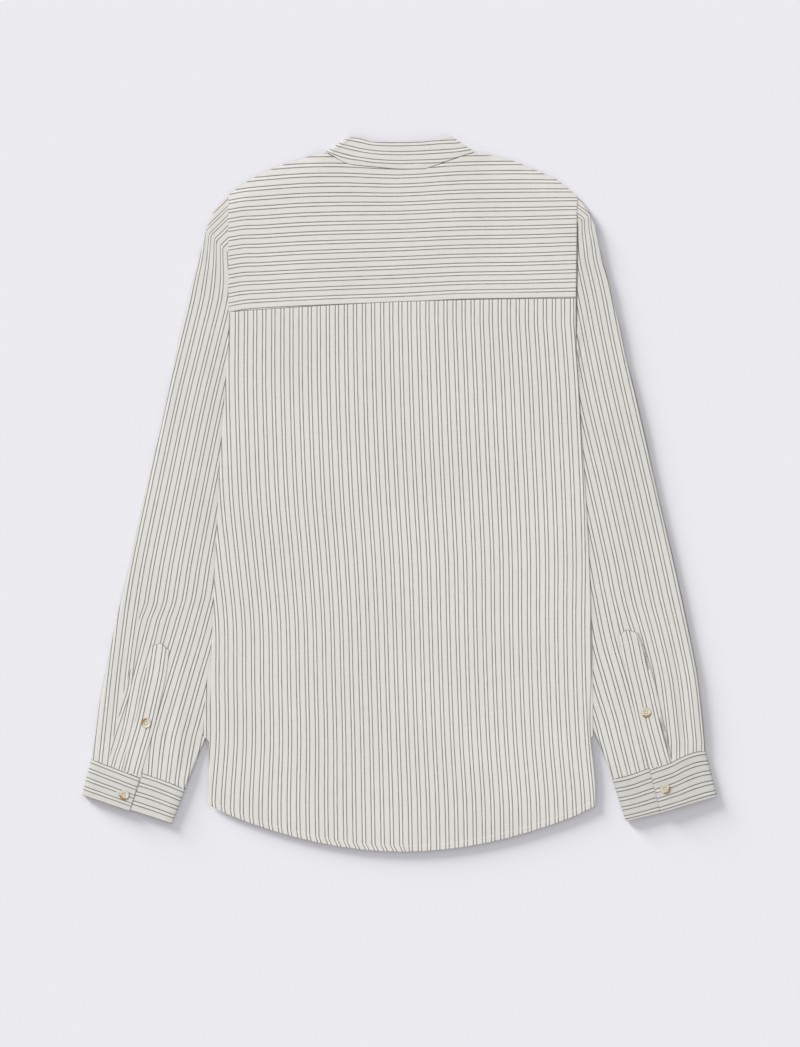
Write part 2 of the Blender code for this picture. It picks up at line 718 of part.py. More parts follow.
def lay_button(name, place, *under):
    trees = surface_of(*under)
    radius = BUTTON_DIAMETER / 2
    x, y = place
    heights = [height_over(trees, x, y)]
    for step in range(12):
        angle = math.tau * step / 12
        heights.append(height_over(trees, x + radius * math.cos(angle), y + radius * math.sin(angle)))
    return make_button(name, x, y, max(heights) + GAP)


make_back()
make_yoke()
make_collar()
left_sleeve = make_sleeve("sleeve_left", -1.0, SLEEVE_LEFT)
right_sleeve = make_sleeve("sleeve_right", 1.0, SLEEVE_RIGHT)
make_front("front_left", ticks((ARMHOLE_LEFT_X, -NECK_X, 4), (-NECK_X, -STRIP_HALF - GAP, 6)), left_sleeve)
make_front("front_right", ticks((-STRIP_HALF, STRIP_HALF, 2), (STRIP_HALF, NECK_X, 6),
                                (NECK_X, ARMHOLE_RIGHT_X, 4)), right_sleeve)
make_front_placket()
left_cuff = make_cuff("cuff_left", CUFF_LEFT)
right_cuff = make_cuff("cuff_right", CUFF_RIGHT)
left_placket = make_placket("placket_left", PLACKET_LEFT, left_sleeve)
right_placket = make_placket("placket_right", PLACKET_RIGHT, right_sleeve)
lay_button("button_cuff_left", CUFF_BUTTON_LEFT, left_cuff)
lay_button("button_cuff_right", CUFF_BUTTON_RIGHT, right_cuff)
lay_button("button_placket_left", PLACKET_BUTTON_LEFT, left_placket)
lay_button("button_placket_right", PLACKET_BUTTON_RIGHT, right_placket)
make_button("button_front_1", 0.0, FRONT_NECK_Y + COLLAR_HEIGHT / 2, 0.0)
for number, button_y in enumerate(FRONT_BUTTONS_Y, start=2):
    make_button("button_front_" + str(number), 0.0, button_y, 0.0)
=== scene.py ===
"""Striped band-collar shirt, laid flat with its back upwards: cloth, sewing, buttons and studio.

The tables and functions count in millimetres from the collar's middle line, finished meshes are
in metres. +Y points to the collar, +Z up, and the wearer's left is at -X.
"""
import math
from collections import namedtuple

import bmesh
import bpy
import numpy as np
from bpy.props import FloatProperty, FloatVectorProperty, IntProperty, PointerProperty
from bpy.types import Operator, Panel, PropertyGroup
from mathutils import Matrix, Vector, noise
from mathutils.bvhtree import BVHTree


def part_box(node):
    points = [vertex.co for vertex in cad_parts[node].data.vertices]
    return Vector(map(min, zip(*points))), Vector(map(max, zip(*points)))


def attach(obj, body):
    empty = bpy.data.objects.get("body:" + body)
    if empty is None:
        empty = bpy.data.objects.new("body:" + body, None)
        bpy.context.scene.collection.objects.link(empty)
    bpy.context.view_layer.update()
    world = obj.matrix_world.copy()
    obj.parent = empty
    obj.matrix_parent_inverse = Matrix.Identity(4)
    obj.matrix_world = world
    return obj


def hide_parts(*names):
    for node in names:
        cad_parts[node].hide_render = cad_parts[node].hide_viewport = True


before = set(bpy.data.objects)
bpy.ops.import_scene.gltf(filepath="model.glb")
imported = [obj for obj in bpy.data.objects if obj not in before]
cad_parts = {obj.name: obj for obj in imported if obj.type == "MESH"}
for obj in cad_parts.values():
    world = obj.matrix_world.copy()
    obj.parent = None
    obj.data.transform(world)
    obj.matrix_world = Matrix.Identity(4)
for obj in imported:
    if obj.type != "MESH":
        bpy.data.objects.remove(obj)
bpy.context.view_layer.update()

bl_info = {
    "name": "Band Collar Shirt",
    "version": (1, 0, 0),
    "blender": (4, 5, 0),
    "location": "View3D > Sidebar > Shirt",
    "description": "Dresses the laid-out shirt with striped cloth, sewing and buttons",
    "category": "Object",
}

MM = 0.001
# The tables' zero, the collar's middle line, in the frame's millimetres
MIDDLE = Vector((-0.95, 0.99, 0.0))
DOWN = Vector((0.0, 0.0, -1.0))
UP = Vector((0.0, 0.0, 1.0))
# Heights in metres that a sheet's faces look away from
BELOW = -1.0
ABOVE = 1.0

# Seams and edges
SEAM_ALLOWANCE = 6.5
HEM_WIDTH = 6.5
HEM_LEAN = 3.2
EDGE_ROUND = 1.3
# Soft edges of the dark lines and how far these wander, in metres
LINE_BLUR = 0.00022
LINE_WANDER = 0.0005


def table(kind, *rows):
    """Rows of numbers under the column names of their kind."""
    return tuple(kind(*row) for row in rows)


# Panels: a line inside each beside either side edge, the heights of the side edges' ends, and the sizes
Outline = namedtuple("Outline", "node left_x right_x low_left low_right high_left high_right width height")
BACK = Outline("back", -185.0, 190.0, -347.2, -348.7, 204.2, 219.2, 420.0, 555.0)
YOKE = Outline("yoke", -188.0, 190.0, 204.6, 219.6, 334.8, 333.7, 392.0, 145.0)
FRONT_LEFT = Outline("front_left", -185.0, -20.0, -270.0, -379.2, 333.8, 305.0, 178.0, 650.0)
FRONT_RIGHT = Outline("front_right", -10.0, 190.0, -379.2, -270.0, 302.6, 332.7, 214.0, 650.0)
BUTTON_BAND = Outline("front_placket", -5.0, 5.0, -380.0, -380.0, 304.0, 302.6, 29.4, 684.0)

# Stripes of the back: places of the 1st, 17th and 37th pair across it
Across = namedtuple("Across", "y first middle last")
BACK_STRIPES = table(
    Across, (-390, -168.4, -0.7, 204), (-342.7, -168.7, -1.7, 202.9), (-275.5, -165.6, -4, 197),
    (-208.3, -166.4, -6.3, 193.8), (-141.1, -167.4, -8.3, 192.8), (-73.9, -173.8, -11, 193.2),
    (-6.7, -180.4, -15.3, 191.4), (60.5, -183.3, -18.6, 188.3), (127.7, -185, -20.8, 184.9),
    (192.6, -184.5, -22.1, 180.2))
BACK_PAIRS = (0.0, 16.0, 36.0)

# Stripes of the yoke: heights of the 1st, 7th and 14th pair up from the seam
Up = namedtuple("Up", "x first middle last")
YOKE_STRIPES = table(
    Up, (-193, 214, 277, 349.5), (-176, 217.2, 279.6, 353), (-156.6, 218.7, 280.2, 355.5),
    (-111.8, 221, 282.9, 358.9), (-67, 222.9, 284.6, 359.6), (0.2, 225.2, 286.6, 357.6),
    (67.4, 228.5, 289.3, 361.4), (134.6, 229.7, 290.4, 362.6), (198, 231.2, 292.4, 361.8))
YOKE_PAIRS = (0.0, 6.0, 13.0)

# Stripes along a sleeve: a pair's place across it and the distance to the next pair
Along = namedtuple("Along", "y first pitch")
LEFT_STRIPES = table(
    Along, (297.9, -218.7, 5.94), (284.5, -221.3, 6.61), (262.1, -224.6, 7.84), (239.7, -229.8, 9.52),
    (217.3, -234.2, 10.08), (172.5, -245, 10.08), (105.3, -261, 10.02), (15.7, -280.3, 10.14),
    (-73.9, -299, 10.36), (-118.7, -306.7, 10.42), (-163.5, -312.5, 9.8), (-208.3, -317.9, 9.6),
    (-253.1, -322.4, 10), (-309.1, -328.3, 10.1))
RIGHT_STRIPES = table(
    Along, (311.4, 210.4, 7.06), (296.8, 211.3, 7.84), (281.1, 214, 9.07), (262.1, 216.6, 9.52),
    (239.7, 222.1, 10.08), (217.3, 226.9, 10.08), (172.5, 235.5, 10.05), (105.3, 250.2, 10.42),
    (15.7, 271.3, 10.38), (-73.9, 291.5, 10.42), (-118.7, 301.2, 10.53), (-163.5, 311.6, 9.97),
    (-208.3, 320.5, 9.63), (-275.5, 327.9, 9.3))
# Lower down the stripes lie in groups, parted by pleats. These two follow sharp folds: the pleat's
# back, whose rows place its second pair, and the cloth that comes out from below it, by its third
LEFT_PLEAT = table(
    Along, (-118.7, -287.6, 9.8), (-141.1, -293.2, 9.7), (-163.5, -297.8, 9.7), (-185.9, -301.1, 9.7),
    (-208.3, -303.7, 9.7), (-219.5, -305.5, 9.7), (-241.9, -312.7, 9.7), (-275.5, -323.8, 9.7),
    (-309.1, -333, 9.7))
LEFT_MIDDLE = table(
    Along, (-118.7, -277.4, 10.1), (-141.1, -283, 10.1), (-163.5, -288.8, 10.6), (-185.9, -294.4, 9.9),
    (-208.3, -300, 9.6), (-230.7, -304.5, 9.6), (-253.1, -308.9, 9.6), (-275.5, -314.4, 9.5),
    (-293.4, -320.3, 9.3), (-309.1, -324.5, 9.3))
LEFT_INNER = table(
    Along, (-118.7, -213.1, 10.36), (-163.5, -224.9, 10.9), (-208.3, -238.2, 11.09),
    (-253.1, -250.8, 11.31), (-275.5, -256.4, 11.2), (-321.4, -262.4, 10.3))
RIGHT_INNER = table(
    Along, (-118.7, 216.6, 10.55), (-163.5, 225.5, 11.42), (-208.3, 237.9, 11.65), (-253.1, 250.4, 10.98),
    (-275.5, 255.7, 10.75), (-320.3, 266.8, 10.53))
GROUPS_BELOW = -118.7
# Length over which a sharp group parts from the others, and half widths of a soft start's blur
GROUP_OPENING = 24.0
BLUR_ABOVE = 26.0
BLUR_BELOW = 8.5
# Where the two sharp groups start
Fold = namedtuple("Fold", "y x")
LEFT_FOLD = table(
    Fold, (-118.7, -290.6), (-141.1, -292.7), (-163.5, -296.4), (-185.9, -299.9), (-208.3, -305.5),
    (-230.7, -312.5), (-253.1, -315.6), (-275.5, -321.9), (-309.1, -327.5))
LEFT_TUCK = table(
    Fold, (-118.7, -282), (-141.1, -286.5), (-163.5, -290.4), (-185.9, -295.9), (-208.3, -300.4),
    (-230.7, -305), (-253.1, -310.6), (-275.5, -316.7), (-309.1, -326))
# A group is numbered by the pair that its rows place; it starts sharply at a fold, or softly at a
# line below the placket from its top to its bottom
Group = namedtuple("Group", "stripes pair fold top_x top_y bottom_x bottom_y", defaults=(None,) * 5)
LEFT_GROUPS = (
    Group(LEFT_STRIPES, 0.0),
    Group(LEFT_PLEAT, 2.0, LEFT_FOLD),
    Group(LEFT_MIDDLE, 3.0, LEFT_TUCK),
    Group(LEFT_INNER, 9.0, None, -269.0, -172.0, -301.0, -311.0),
)
RIGHT_GROUPS = (
    Group(RIGHT_STRIPES, 0.0),
    Group(RIGHT_INNER, -8.0, None, 256.0, -157.0, 292.0, -303.0),
)
# The sleeve head bends along this line; above it the stripes run in this direction to the seam
Bend = namedtuple("Bend", "start_x start_y end_x end_y run_x run_y")
LEFT_BEND = Bend(-217.1, 295.9, -194.7, 271.3, -1.0, -0.98)
RIGHT_BEND = Bend(214.0, 314.5, 198.0, 303.5, 1.0, -0.76)

# Guide lines across the sleeves, from the armhole to the cuff; a share is that of the sleeve's length
Ring = namedtuple("Ring", "share outer_x outer_y inner_x inner_y")
LEFT_RINGS = table(
    Ring, (0, -192.8, 334, -190.8, 159), (0.02, -200.5, 326, -190.7, 158),
    (0.06, -213.7, 306, -190.5, 156.5), (0.14, -225.5, 260, -190, 153), (0.22, -238.5, 212, -187.5, 145),
    (0.32, -251.8, 152, -165.5, 104), (0.43, -267.5, 76, -115, 40), (0.5, -277.6, 32, -112.5, 0),
    (0.655, -300, -65, -142.5, -102), (0.86, -330.5, -200, -197.5, -228),
    (1, -345.8, -295.6, -240.2, -329.2))
RIGHT_RINGS = table(
    Ring, (0, 198.6, 333, 196.6, 159), (0.02, 205, 324, 196.4, 158), (0.06, 217.2, 303, 196.2, 156.5),
    (0.14, 226, 260, 195.5, 153), (0.22, 239.6, 212, 193, 145), (0.32, 253.4, 150, 169.5, 104),
    (0.43, 272.5, 76, 119, 41), (0.5, 282.4, 32, 116.6, 0), (0.655, 304.2, -65, 147, -102),
    (0.86, 332.3, -198, 200.5, -228), (1, 341.4, -285.7, 237.3, -317.7))
SLEEVE_LENGTH = 690.0
# How far a sleeve reaches in under the body's edge, over how much of its length, how far it lies
# below the body there, and how deep the groove of the right one's seam is
ARMHOLE_TUCK = 4.2
TUCK_LENGTH = 5.0
ARMHOLE_STEP = 0.4
ARMHOLE_GROOVE = 4.1
# How far inside the armhole the body's height is read
BODY_INSET = 4.0
# How far a sleeve reaches down inside its cuff, over which share of its length
CUFF_REACH = 5.0
CUFF_SHARE = 0.03
# Height at which its two layers meet at the folds, and how far from these it is read from the solid
SLEEVE_EDGE = 1.2
FOLD_MARGIN = 6.0
SLEEVE_COLUMNS = 46
SLEEVE_CELL = 3.2

# Creases: a ridge (lift above 0) or a trough along each line, with its own width on each side
Crease = namedtuple("Crease", "start_x start_y end_x end_y lift left right")
LEFT_CREASES = table(
    Crease, (-219, 298, -193, 269.5, 0.45, 5, 2.5), (-217, 290, -213, 256, -0.9, 2.2, 3),
    (-210.5, 282, -206, 246, 0.35, 3.5, 4), (-205, 262, -202, 226, -0.3, 3, 4),
    (-293, -128, -301.5, -200, 0.75, 2.6, 5), (-301, -196, -312, -238, 0.95, 1.8, 5),
    (-311, -234, -325, -300, 0.8, 1.8, 6), (-304, -196, -325, -290, -0.5, 6, 1.5),
    (-290.5, -168, -303, -222, -0.55, 1.8, 3.5), (-252.5, -200, -256.5, -250, -0.6, 5, 3),
    (-256.5, -246, -266, -308, -0.6, 6, 3), (-246, -185, -254, -312, 0.5, 6, 6),
    (-342.5, -272, -340.5, -293, -0.5, 2, 2), (-232, 150, -262, 10, -0.2, 14, 9),
    (-262, 60, -300, -120, 0.18, 12, 12), (-236, -40, -268, -150, 0.2, 12, 9),
    (-233, -250, -248, -318, -0.35, 5, 4), (-222, -205, -240, -300, 0.25, 8, 6))
RIGHT_CREASES = table(
    Crease, (216, 316, 197.5, 301, 0.5, 2.5, 5), (216, 298, 198.8, 276, -0.9, 2, 3),
    (219, 292, 201, 268, 0.35, 4, 4), (204, 302, 203, 282, -0.4, 2.2, 2.2),
    (302, -160, 309, -212, -0.6, 4, 2), (309, -212, 319, -290, -0.75, 5, 2),
    (298, -150, 311, -288, 0.5, 7, 6), (272, -166, 297, -268, -0.5, 2.5, 3.5),
    (213.5, 297, 199, 277.5, 0.8, 5, 0.9), (331, -205, 338, -284, -0.5, 4, 2.5),
    (324, -180, 330, -288, 0.45, 5, 5), (313, -262, 317, -295, -0.45, 2.5, 2.5),
    (236, 150, 262, 10, -0.2, 10, 14), (268, 60, 300, -120, 0.18, 12, 12),
    (236, -40, 262, -140, 0.2, 9, 12), (232, -245, 250, -305, -0.25, 5, 5))
BACK_CREASES = table(
    Crease, (-150, 196, -168, 20, 0.12, 16, 22), (-60, 150, -72, -60, -0.12, 20, 26),
    (40, 190, 52, -20, 0.1, 22, 16), (128, 120, 150, -120, -0.12, 20, 20),
    (-120, -80, -128, -330, 0.12, 22, 22), (86, -110, 96, -350, 0.12, 22, 26),
    (-186, -20, -196, -250, -0.15, 8, 12), (188, 60, 198, -200, -0.15, 10, 8))
YOKE_CREASES = table(
    Crease, (-188, 320, -186, 210, 0.15, 8, 14), (-120, 352, -60, 300, -0.12, 16, 16),
    (110, 350, 60, 300, 0.12, 16, 16), (188, 320, 190, 225, -0.12, 10, 7))

# Collar: places and angle of its folds, middle of the front neckline, height in front and of the cloth,
# overlap in front, bulge of a fold, height of the back half's underside, walls of its solid and cloth
NECK_X = 82.4
NECK_Y = 384.0
FRONT_NECK_Y = 304.0
FOLD_ANGLE = math.radians(34.0)
COLLAR_HEIGHT = 29.0
COLLAR_CLOTH = 30.0
COLLAR_OVERLAP = 12.0
COLLAR_BULGE = 0.5
COLLAR_UNDER = 5.1
BAND_SOLID = 1.1
BAND_WALL = 0.9
# The back half, from the left fold to the right one
Band = namedtuple("Band", "seam_x seam_y top_x top_y")
COLLAR_BACK = table(
    Band, (-NECK_X, NECK_Y, -58.4, 400.2), (-73.9, 378.1, -52, 400.2), (-61.8, 371.1, -43.9, 399.3),
    (-51.1, 368.9, -36.7, 396.9), (-36.7, 367.4, -26.1, 394.9), (-18.8, 365.7, -13, 394.3),
    (2, 364, 3, 394.2), (27.3, 364.6, 26.8, 395.6), (38.8, 368.1, 36.5, 396.7), (50.2, 372.4, 44.6, 398.2),
    (63.1, 376.8, 50.4, 400.4), (74, 380.6, 53.6, 401.6), (NECK_X, NECK_Y, 56, 402))
# Its stripes: heights of the first line of three pairs on the back half; in front, the distance
# from one pair to the next and that of the first line below the top edge
Rise = namedtuple("Rise", "x first second third")
COLLAR_STRIPES = table(
    Rise, (-82.4, 405.6, 396, 387.1), (-67, 401.2, 392.4, 382.2), (-55.8, 399.4, 389.7, 379.2),
    (-44.6, 397.8, 387.2, 377.2), (-33.4, 394.7, 385.3, 375.5), (-22.2, 393.8, 384.2, 374.5),
    (0.2, 393.7, 383.6, 373.7), (22.6, 394.3, 384.3, 374.3), (45, 396.1, 385.7, 375.2),
    (61.8, 396.7, 386.8, 376.8), (78.6, 396.6, 389, 378.7))
COLLAR_PAIRS = (0.0, 1.0, 2.0)
COLLAR_PAIR = 10.0
COLLAR_FIRST = 1.5

# Closing of the front, which lifts the collar's ends
STRIP_HALF = 15.0
STRIP_RAMP = 25.0
STRIP_LIFT = 2.1

# Painted shade: factors that darken the colours of the sleeves and cuffs, which lie turned from the light
RIGHT_PAINTED_SHADE = 0.955
LEFT_PAINTED_SHADE = 0.985
LEFT_CUFF_PAINTED_SHADE = 0.91
RIGHT_CUFF_PAINTED_SHADE = 0.85

# Cuffs: corners of the flattened band, where its free edge lies, and both parts that show, outer
# and inner: their heights, and how far either edge dips below the straight line between corners
Corners = namedtuple("Corners", "top_outer top_inner bottom_outer bottom_inner overlap_top overlap_bottom "
                                "outer_part inner_part stripe")
Lap = namedtuple("Lap", "across height top bottom")
LEFT_CUFF = Corners(
    (-346.0, -296.2), (-240.4, -329.9), (-356.5, -336.3), (-255.4, -368.5), 0.53, 0.535,
    table(Lap, (0.05, 4.9, 0.3, 0.1), (0.14, 5.5, 0.9, 0.3), (0.3, 6, 1.9, 0.6), (0.43, 6.35, 2.8, 0.9),
          (0.53, 5.95, 3.4, 1.1)),
    table(Lap, (0.33, 4.2, -2, -0.4), (0.53, 4.4, -2.3, -0.3), (0.63, 4.6, -2.4, -0.3),
          (0.82, 4.65, -1.6, -0.2), (0.95, 4.4, -0.4, 0)), 10.3)
RIGHT_CUFF = Corners(
    (341.6, -286.4), (237.3, -318.4), (354.6, -337.8), (252.8, -365.9), 0.608, 0.625,
    table(Lap, (0.05, 4.9, -0.9, 0), (0.14, 5.5, -1.8, 0), (0.26, 5.9, -0.7, 0.3), (0.38, 6.1, 1.7, 0.6),
          (0.51, 6.35, 2.5, 0.9), (0.608, 5.95, 2.9, 1)),
    table(Lap, (0.41, 4.2, 0.3, 1), (0.608, 4.4, 0.3, 1), (0.71, 4.6, 0.9, 0.8), (0.82, 4.65, 1.4, 0.5),
          (0.95, 4.4, 0.5, 0.1)), 11.4)
# Round the outer fold, along the underside and round the inner fold
CUFF_UNDER = table(
    Lap, (0.014, 3.6, 0, 0), (0.006, 2.2, 0, 0), (0.012, 1.2, 0, 0), (0.05, 0.68, -0.3, -0.2),
    (0.25, 0.64, -1.2, -0.9), (0.5, 0.64, -1.6, -1.2), (0.75, 0.64, -1.8, -0.9), (0.95, 0.68, -0.5, -0.2),
    (0.99, 1.1, 0, 0), (0.996, 1.9, 0, 0), (0.988, 3, 0, 0))
CUFF_WALL = 1.2
# From a cuff's upper edge to its first pair of lines
CUFF_FIRST = 0.3

# The sleeves whole; the covers are what they stay below
Sleeve = namedtuple("Sleeve", "node side rings groups bend creases covers cuff tone groove")
LEFT_SLEEVE = Sleeve("sleeve_left", -1.0, LEFT_RINGS, LEFT_GROUPS, LEFT_BEND, LEFT_CREASES,
                     ("placket_left", "front_left"), LEFT_CUFF, LEFT_PAINTED_SHADE, 0.0)
RIGHT_SLEEVE = Sleeve("sleeve_right", 1.0, RIGHT_RINGS, RIGHT_GROUPS, RIGHT_BEND, RIGHT_CREASES,
                      ("placket_right", "front_right"), RIGHT_CUFF, RIGHT_PAINTED_SHADE, ARMHOLE_GROOVE)

# Sleeve plackets: both edges of the strip, from the shoulders of its point to the cuff
Strip = namedtuple("Strip", "outer_x outer_y inner_x inner_y")
LEFT_PLACKET = table(
    Strip, (-279.4, -170.2, -258.6, -174.2), (-284.2, -199.5, -262.6, -203.7), (-290.6, -228.4, -269, -233),
    (-296.1, -252.8, -274.7, -258), (-304.9, -283.6, -283.8, -289.8), (-311.4, -309, -291, -315.3))
RIGHT_PLACKET = table(
    Strip, (266.4, -155.1, 244.4, -158.8), (277.6, -184.4, 250.7, -190.6), (287.4, -221.2, 259.5, -228.5),
    (294.2, -253.7, 266.8, -261), (299.9, -277.8, 273.1, -284.5), (303.9, -299.8, 279.1, -306.8))
PLACKET_POINT = 6.5
PLACKET_SHOULDER = 9.0
# Length of its end that is drawn into the cuff, and how far it is drawn
PLACKET_TUCK = 10.0
PLACKET_REACH = 3.5
PLACKET_WIDTH = 24.0
PLACKET_WALL = 0.8
# Columns between a placket's edge and its stitches, and how far other stitches lie from their edges
PLACKET_INSET = 4
CUFF_INSET = 1.8
COLLAR_INSET = 1.6
BAND_INSET = 2.2

# Buttons on the sleeves, and the direction in degrees that the horn is brown on
Button = namedtuple("Button", "node amber")
SLEEVE_BUTTONS = table(
    Button, ("button_cuff_left", 245), ("button_cuff_right", 320), ("button_placket_left", 140),
    ("button_placket_right", 285))

# View: middle and height of what the camera sees, in the frame; and the way that the light runs
VIEW_X = 0.614
VIEW_Y = -33.47
VIEW_HEIGHT = 1172.64
LIGHT_RUNS = (0.7, -0.71, 0.0)


# Settings that a user would change: lengths in metres, shares, angles in degrees and colours

def a_length(name, default, description):
    return FloatProperty(name=name, default=default, description=description, unit="LENGTH")


def a_share(name, default, description):
    return FloatProperty(name=name, default=default, description=description)


def an_angle(name, degrees, description):
    return FloatProperty(name=name, default=math.radians(degrees), description=description, subtype="ANGLE")


def a_colour(name, default, description):
    return FloatVectorProperty(name=name, default=default, description=description, subtype="COLOR",
                               min=0.0, max=1.0)


class ClothSettings(PropertyGroup):
    """Cloth and its stripes"""
    repeat: a_length("Stripe Repeat", 0.0104, "From one pair of lines to the next")
    gap: a_length("Pair Gap", 0.0037, "Between the two lines of a pair")
    line: a_length("Line Width", 0.0012, "Width of one dark line")
    wall: a_length("Cloth Thickness", 0.00045, "Thickness of one layer of cloth")
    cell: a_length("Mesh Cell", 0.003, "Size of a cell of the cloth's mesh")
    ground: a_colour("Ground", (0.757, 0.735, 0.695), "Colour of the cloth")
    white: a_colour("White", (0.81, 0.788, 0.754), "Colour between the lines of a pair")
    dark: a_colour("Line", (0.2, 0.19, 0.172), "Colour of the dark lines")


class SewingSettings(PropertyGroup):
    """Topstitching and buttonholes"""
    pitch: a_length("Stitch Pitch", 0.003, "From one stitch to the next")
    length: a_length("Stitch Length", 0.0021, "Length of one stitch that shows")
    thread: a_length("Thread", 0.00055, "Thickness of the thread")
    colour: a_colour("Thread Colour", (0.88, 0.87, 0.84), "Colour of the thread")


class ButtonSettings(PropertyGroup):
    """Horn buttons"""
    diameter: a_length("Diameter", 0.011, "Across a button")
    thick: a_length("Thickness", 0.0018, "Height of a button's rim")
    hole: a_length("Hole", 0.001, "Diameter of one of the four holes")
    spread: a_length("Hole Spread", 0.0017, "From the middle to a hole's middle")
    rim: IntProperty(name="Rim Steps", description="Sides of the round rim", default=32, min=16)
    cream: a_colour("Cream", (0.62, 0.575, 0.455), "Colour of the pale horn")
    amber: a_colour("Amber", (0.36, 0.19, 0.06), "Colour of the brown horn")


class StageSettings(PropertyGroup):
    """Floor, light and camera"""
    floor: a_colour("Floor", (0.84, 0.832, 0.874), "Colour of the surface below")
    low_light: a_share("Low Light", 0.38, "Share of the floor's light that comes from low down")
    low_height: an_angle("Low Light Height", 11.5, "Its angle above the floor")
    low_size: an_angle("Low Light Size", 19.0, "Angle that it fills")
    key_light: a_share("Key Light", 0.42, "Share of the shirt's light from the key light")
    key_height: an_angle("Key Light Height", 50.0, "Its angle above the floor")
    key_size: an_angle("Key Light Size", 22.0, "Angle that it fills")
    sky: a_share("Fill Strength", 0.62, "Strength of the light from all round")
    distance: a_length("Camera Distance", 6.0, "Height of the camera")


def settings_of(part):
    """The settings of the cloth, sewing, buttons or stage."""
    return getattr(bpy.context.scene, "shirt_" + part)


def in_mm(setting):
    """A length of the cloth's settings in millimetres."""
    return getattr(settings_of("cloth"), setting) / MM


# Measures

def metres(point):
    return (Vector(point) - MIDDLE) * MM


def ease(start, end, at):
    """0 at start and 1 at end, level at both."""
    share = min(1.0, max(0.0, (at - start) / (end - start)))
    return share * share * (3.0 - 2.0 * share)


def mix(first, second, share):
    return first + (second - first) * share


def shares(length, fine_start=(), fine_end=(), cell=None):
    """Places from 0 to 1 along a length, with extra ones at given distances from either end."""
    cell = cell or in_mm("cell")
    start, end = list(fine_start), [length - d for d in reversed(fine_end)]
    low = start[-1] if start else 0.0
    high = end[0] if end else length
    steps = max(2, round((high - low) / cell))
    middle = [mix(low, high, step / steps) for step in range(steps + 1)]
    places = sorted(set([0.0] + start + middle + end + [length]))
    return [place / length for place in places]


def curve(low, high, from_slope, to_slope, share):
    """A smooth curve between two values, whose slopes count over the whole way."""
    rise = high - low
    return low + share * (from_slope + share * (
        3.0 * rise - 2.0 * from_slope - to_slope + share * (from_slope + to_slope - 2.0 * rise)))


def read(rows, at):
    """The columns of a table at a place between its rows' first values, on smooth curves."""
    if rows[0][0] > rows[-1][0]:
        rows = rows[::-1]
    keys, *columns = zip(*rows)
    at = min(keys[-1], max(keys[0], at))
    index = min(len(keys) - 2, max(i for i in range(len(keys)) if keys[i] <= at))
    span = keys[index + 1] - keys[index]
    beside = [(max(0, i - 1), min(len(keys) - 1, i + 1)) for i in (index, index + 1)]
    return [curve(values[index], values[index + 1],
                  *((values[high] - values[low]) / (keys[high] - keys[low]) * span for low, high in beside),
                  (at - keys[index]) / span) for values in columns]


def through(places, values, at):
    """A value on the parabola through three places, read at any place."""
    total = 0.0
    for i in range(3):
        weight = 1.0
        for j in range(3):
            if i != j:
                weight *= (at - places[j]) / (places[i] - places[j])
        total += weight * values[i]
    return total


def crease_lift(creases, x, y):
    """Height that the creases add at a place: each fades at its ends and on both sides."""
    total = 0.0
    for crease in creases:
        along_x, along_y = crease.end_x - crease.start_x, crease.end_y - crease.start_y
        from_x, from_y = x - crease.start_x, y - crease.start_y
        length = math.hypot(along_x, along_y)
        share = (from_x * along_x + from_y * along_y) / length ** 2
        if not -0.1 < share < 1.1:
            continue
        away = (from_x * along_y - from_y * along_x) / length
        away /= crease.right if away > 0 else crease.left
        if abs(away) < 3.0:
            total += crease.lift * math.exp(-away * away) * ease(-0.1, 0.2, share) * ease(1.1, 0.85, share)
    return total


def heading(angle):
    """The level direction of an angle and the one on its left."""
    along = Vector((math.cos(angle), math.sin(angle), 0.0))
    return along, Vector((-along.y, along.x, 0.0))


def drift(x, y, seed, size=70.0, stretch=2.0):
    """Slow uneven waves of cloth that lies loosely, from -1 to 1."""
    first = noise.noise(Vector((x / size, y / (size * stretch), seed)))
    second = noise.noise(Vector((x / size * 2.7, y / (size * stretch) * 2.7, seed + 9.0)))
    return first + 0.4 * second


class Solid:
    """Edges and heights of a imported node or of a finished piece, in the tables' millimetres.

    A height is NaN where there is no material.
    """

    def __init__(self, node):
        builder = bmesh.new()
        builder.from_mesh(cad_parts[node].data if isinstance(node, str) else node.data)
        self.tree = BVHTree.FromBMesh(builder)
        builder.free()

    def meet(self, x, y, start, way):
        hit = self.tree.ray_cast(metres((x, y, start)), way)[0]
        return hit.z / MM if hit else math.nan

    def top(self, x, y):
        return self.meet(x, y, 50.0, DOWN)

    def under(self, x, y):
        return self.meet(x, y, -50.0, UP)

    def edge(self, start, direction, far=500.0):
        """Last place with material on a straight way from a place inside."""
        start, direction = Vector(start[:2]), Vector(direction[:2]).normalized()
        inside, outside = 0.0, far
        while outside - inside > 0.02:
            middle = (inside + outside) / 2
            place = start + direction * middle
            if math.isnan(self.top(place.x, place.y)):
                outside = middle
            else:
                inside = middle
        return start + direction * inside


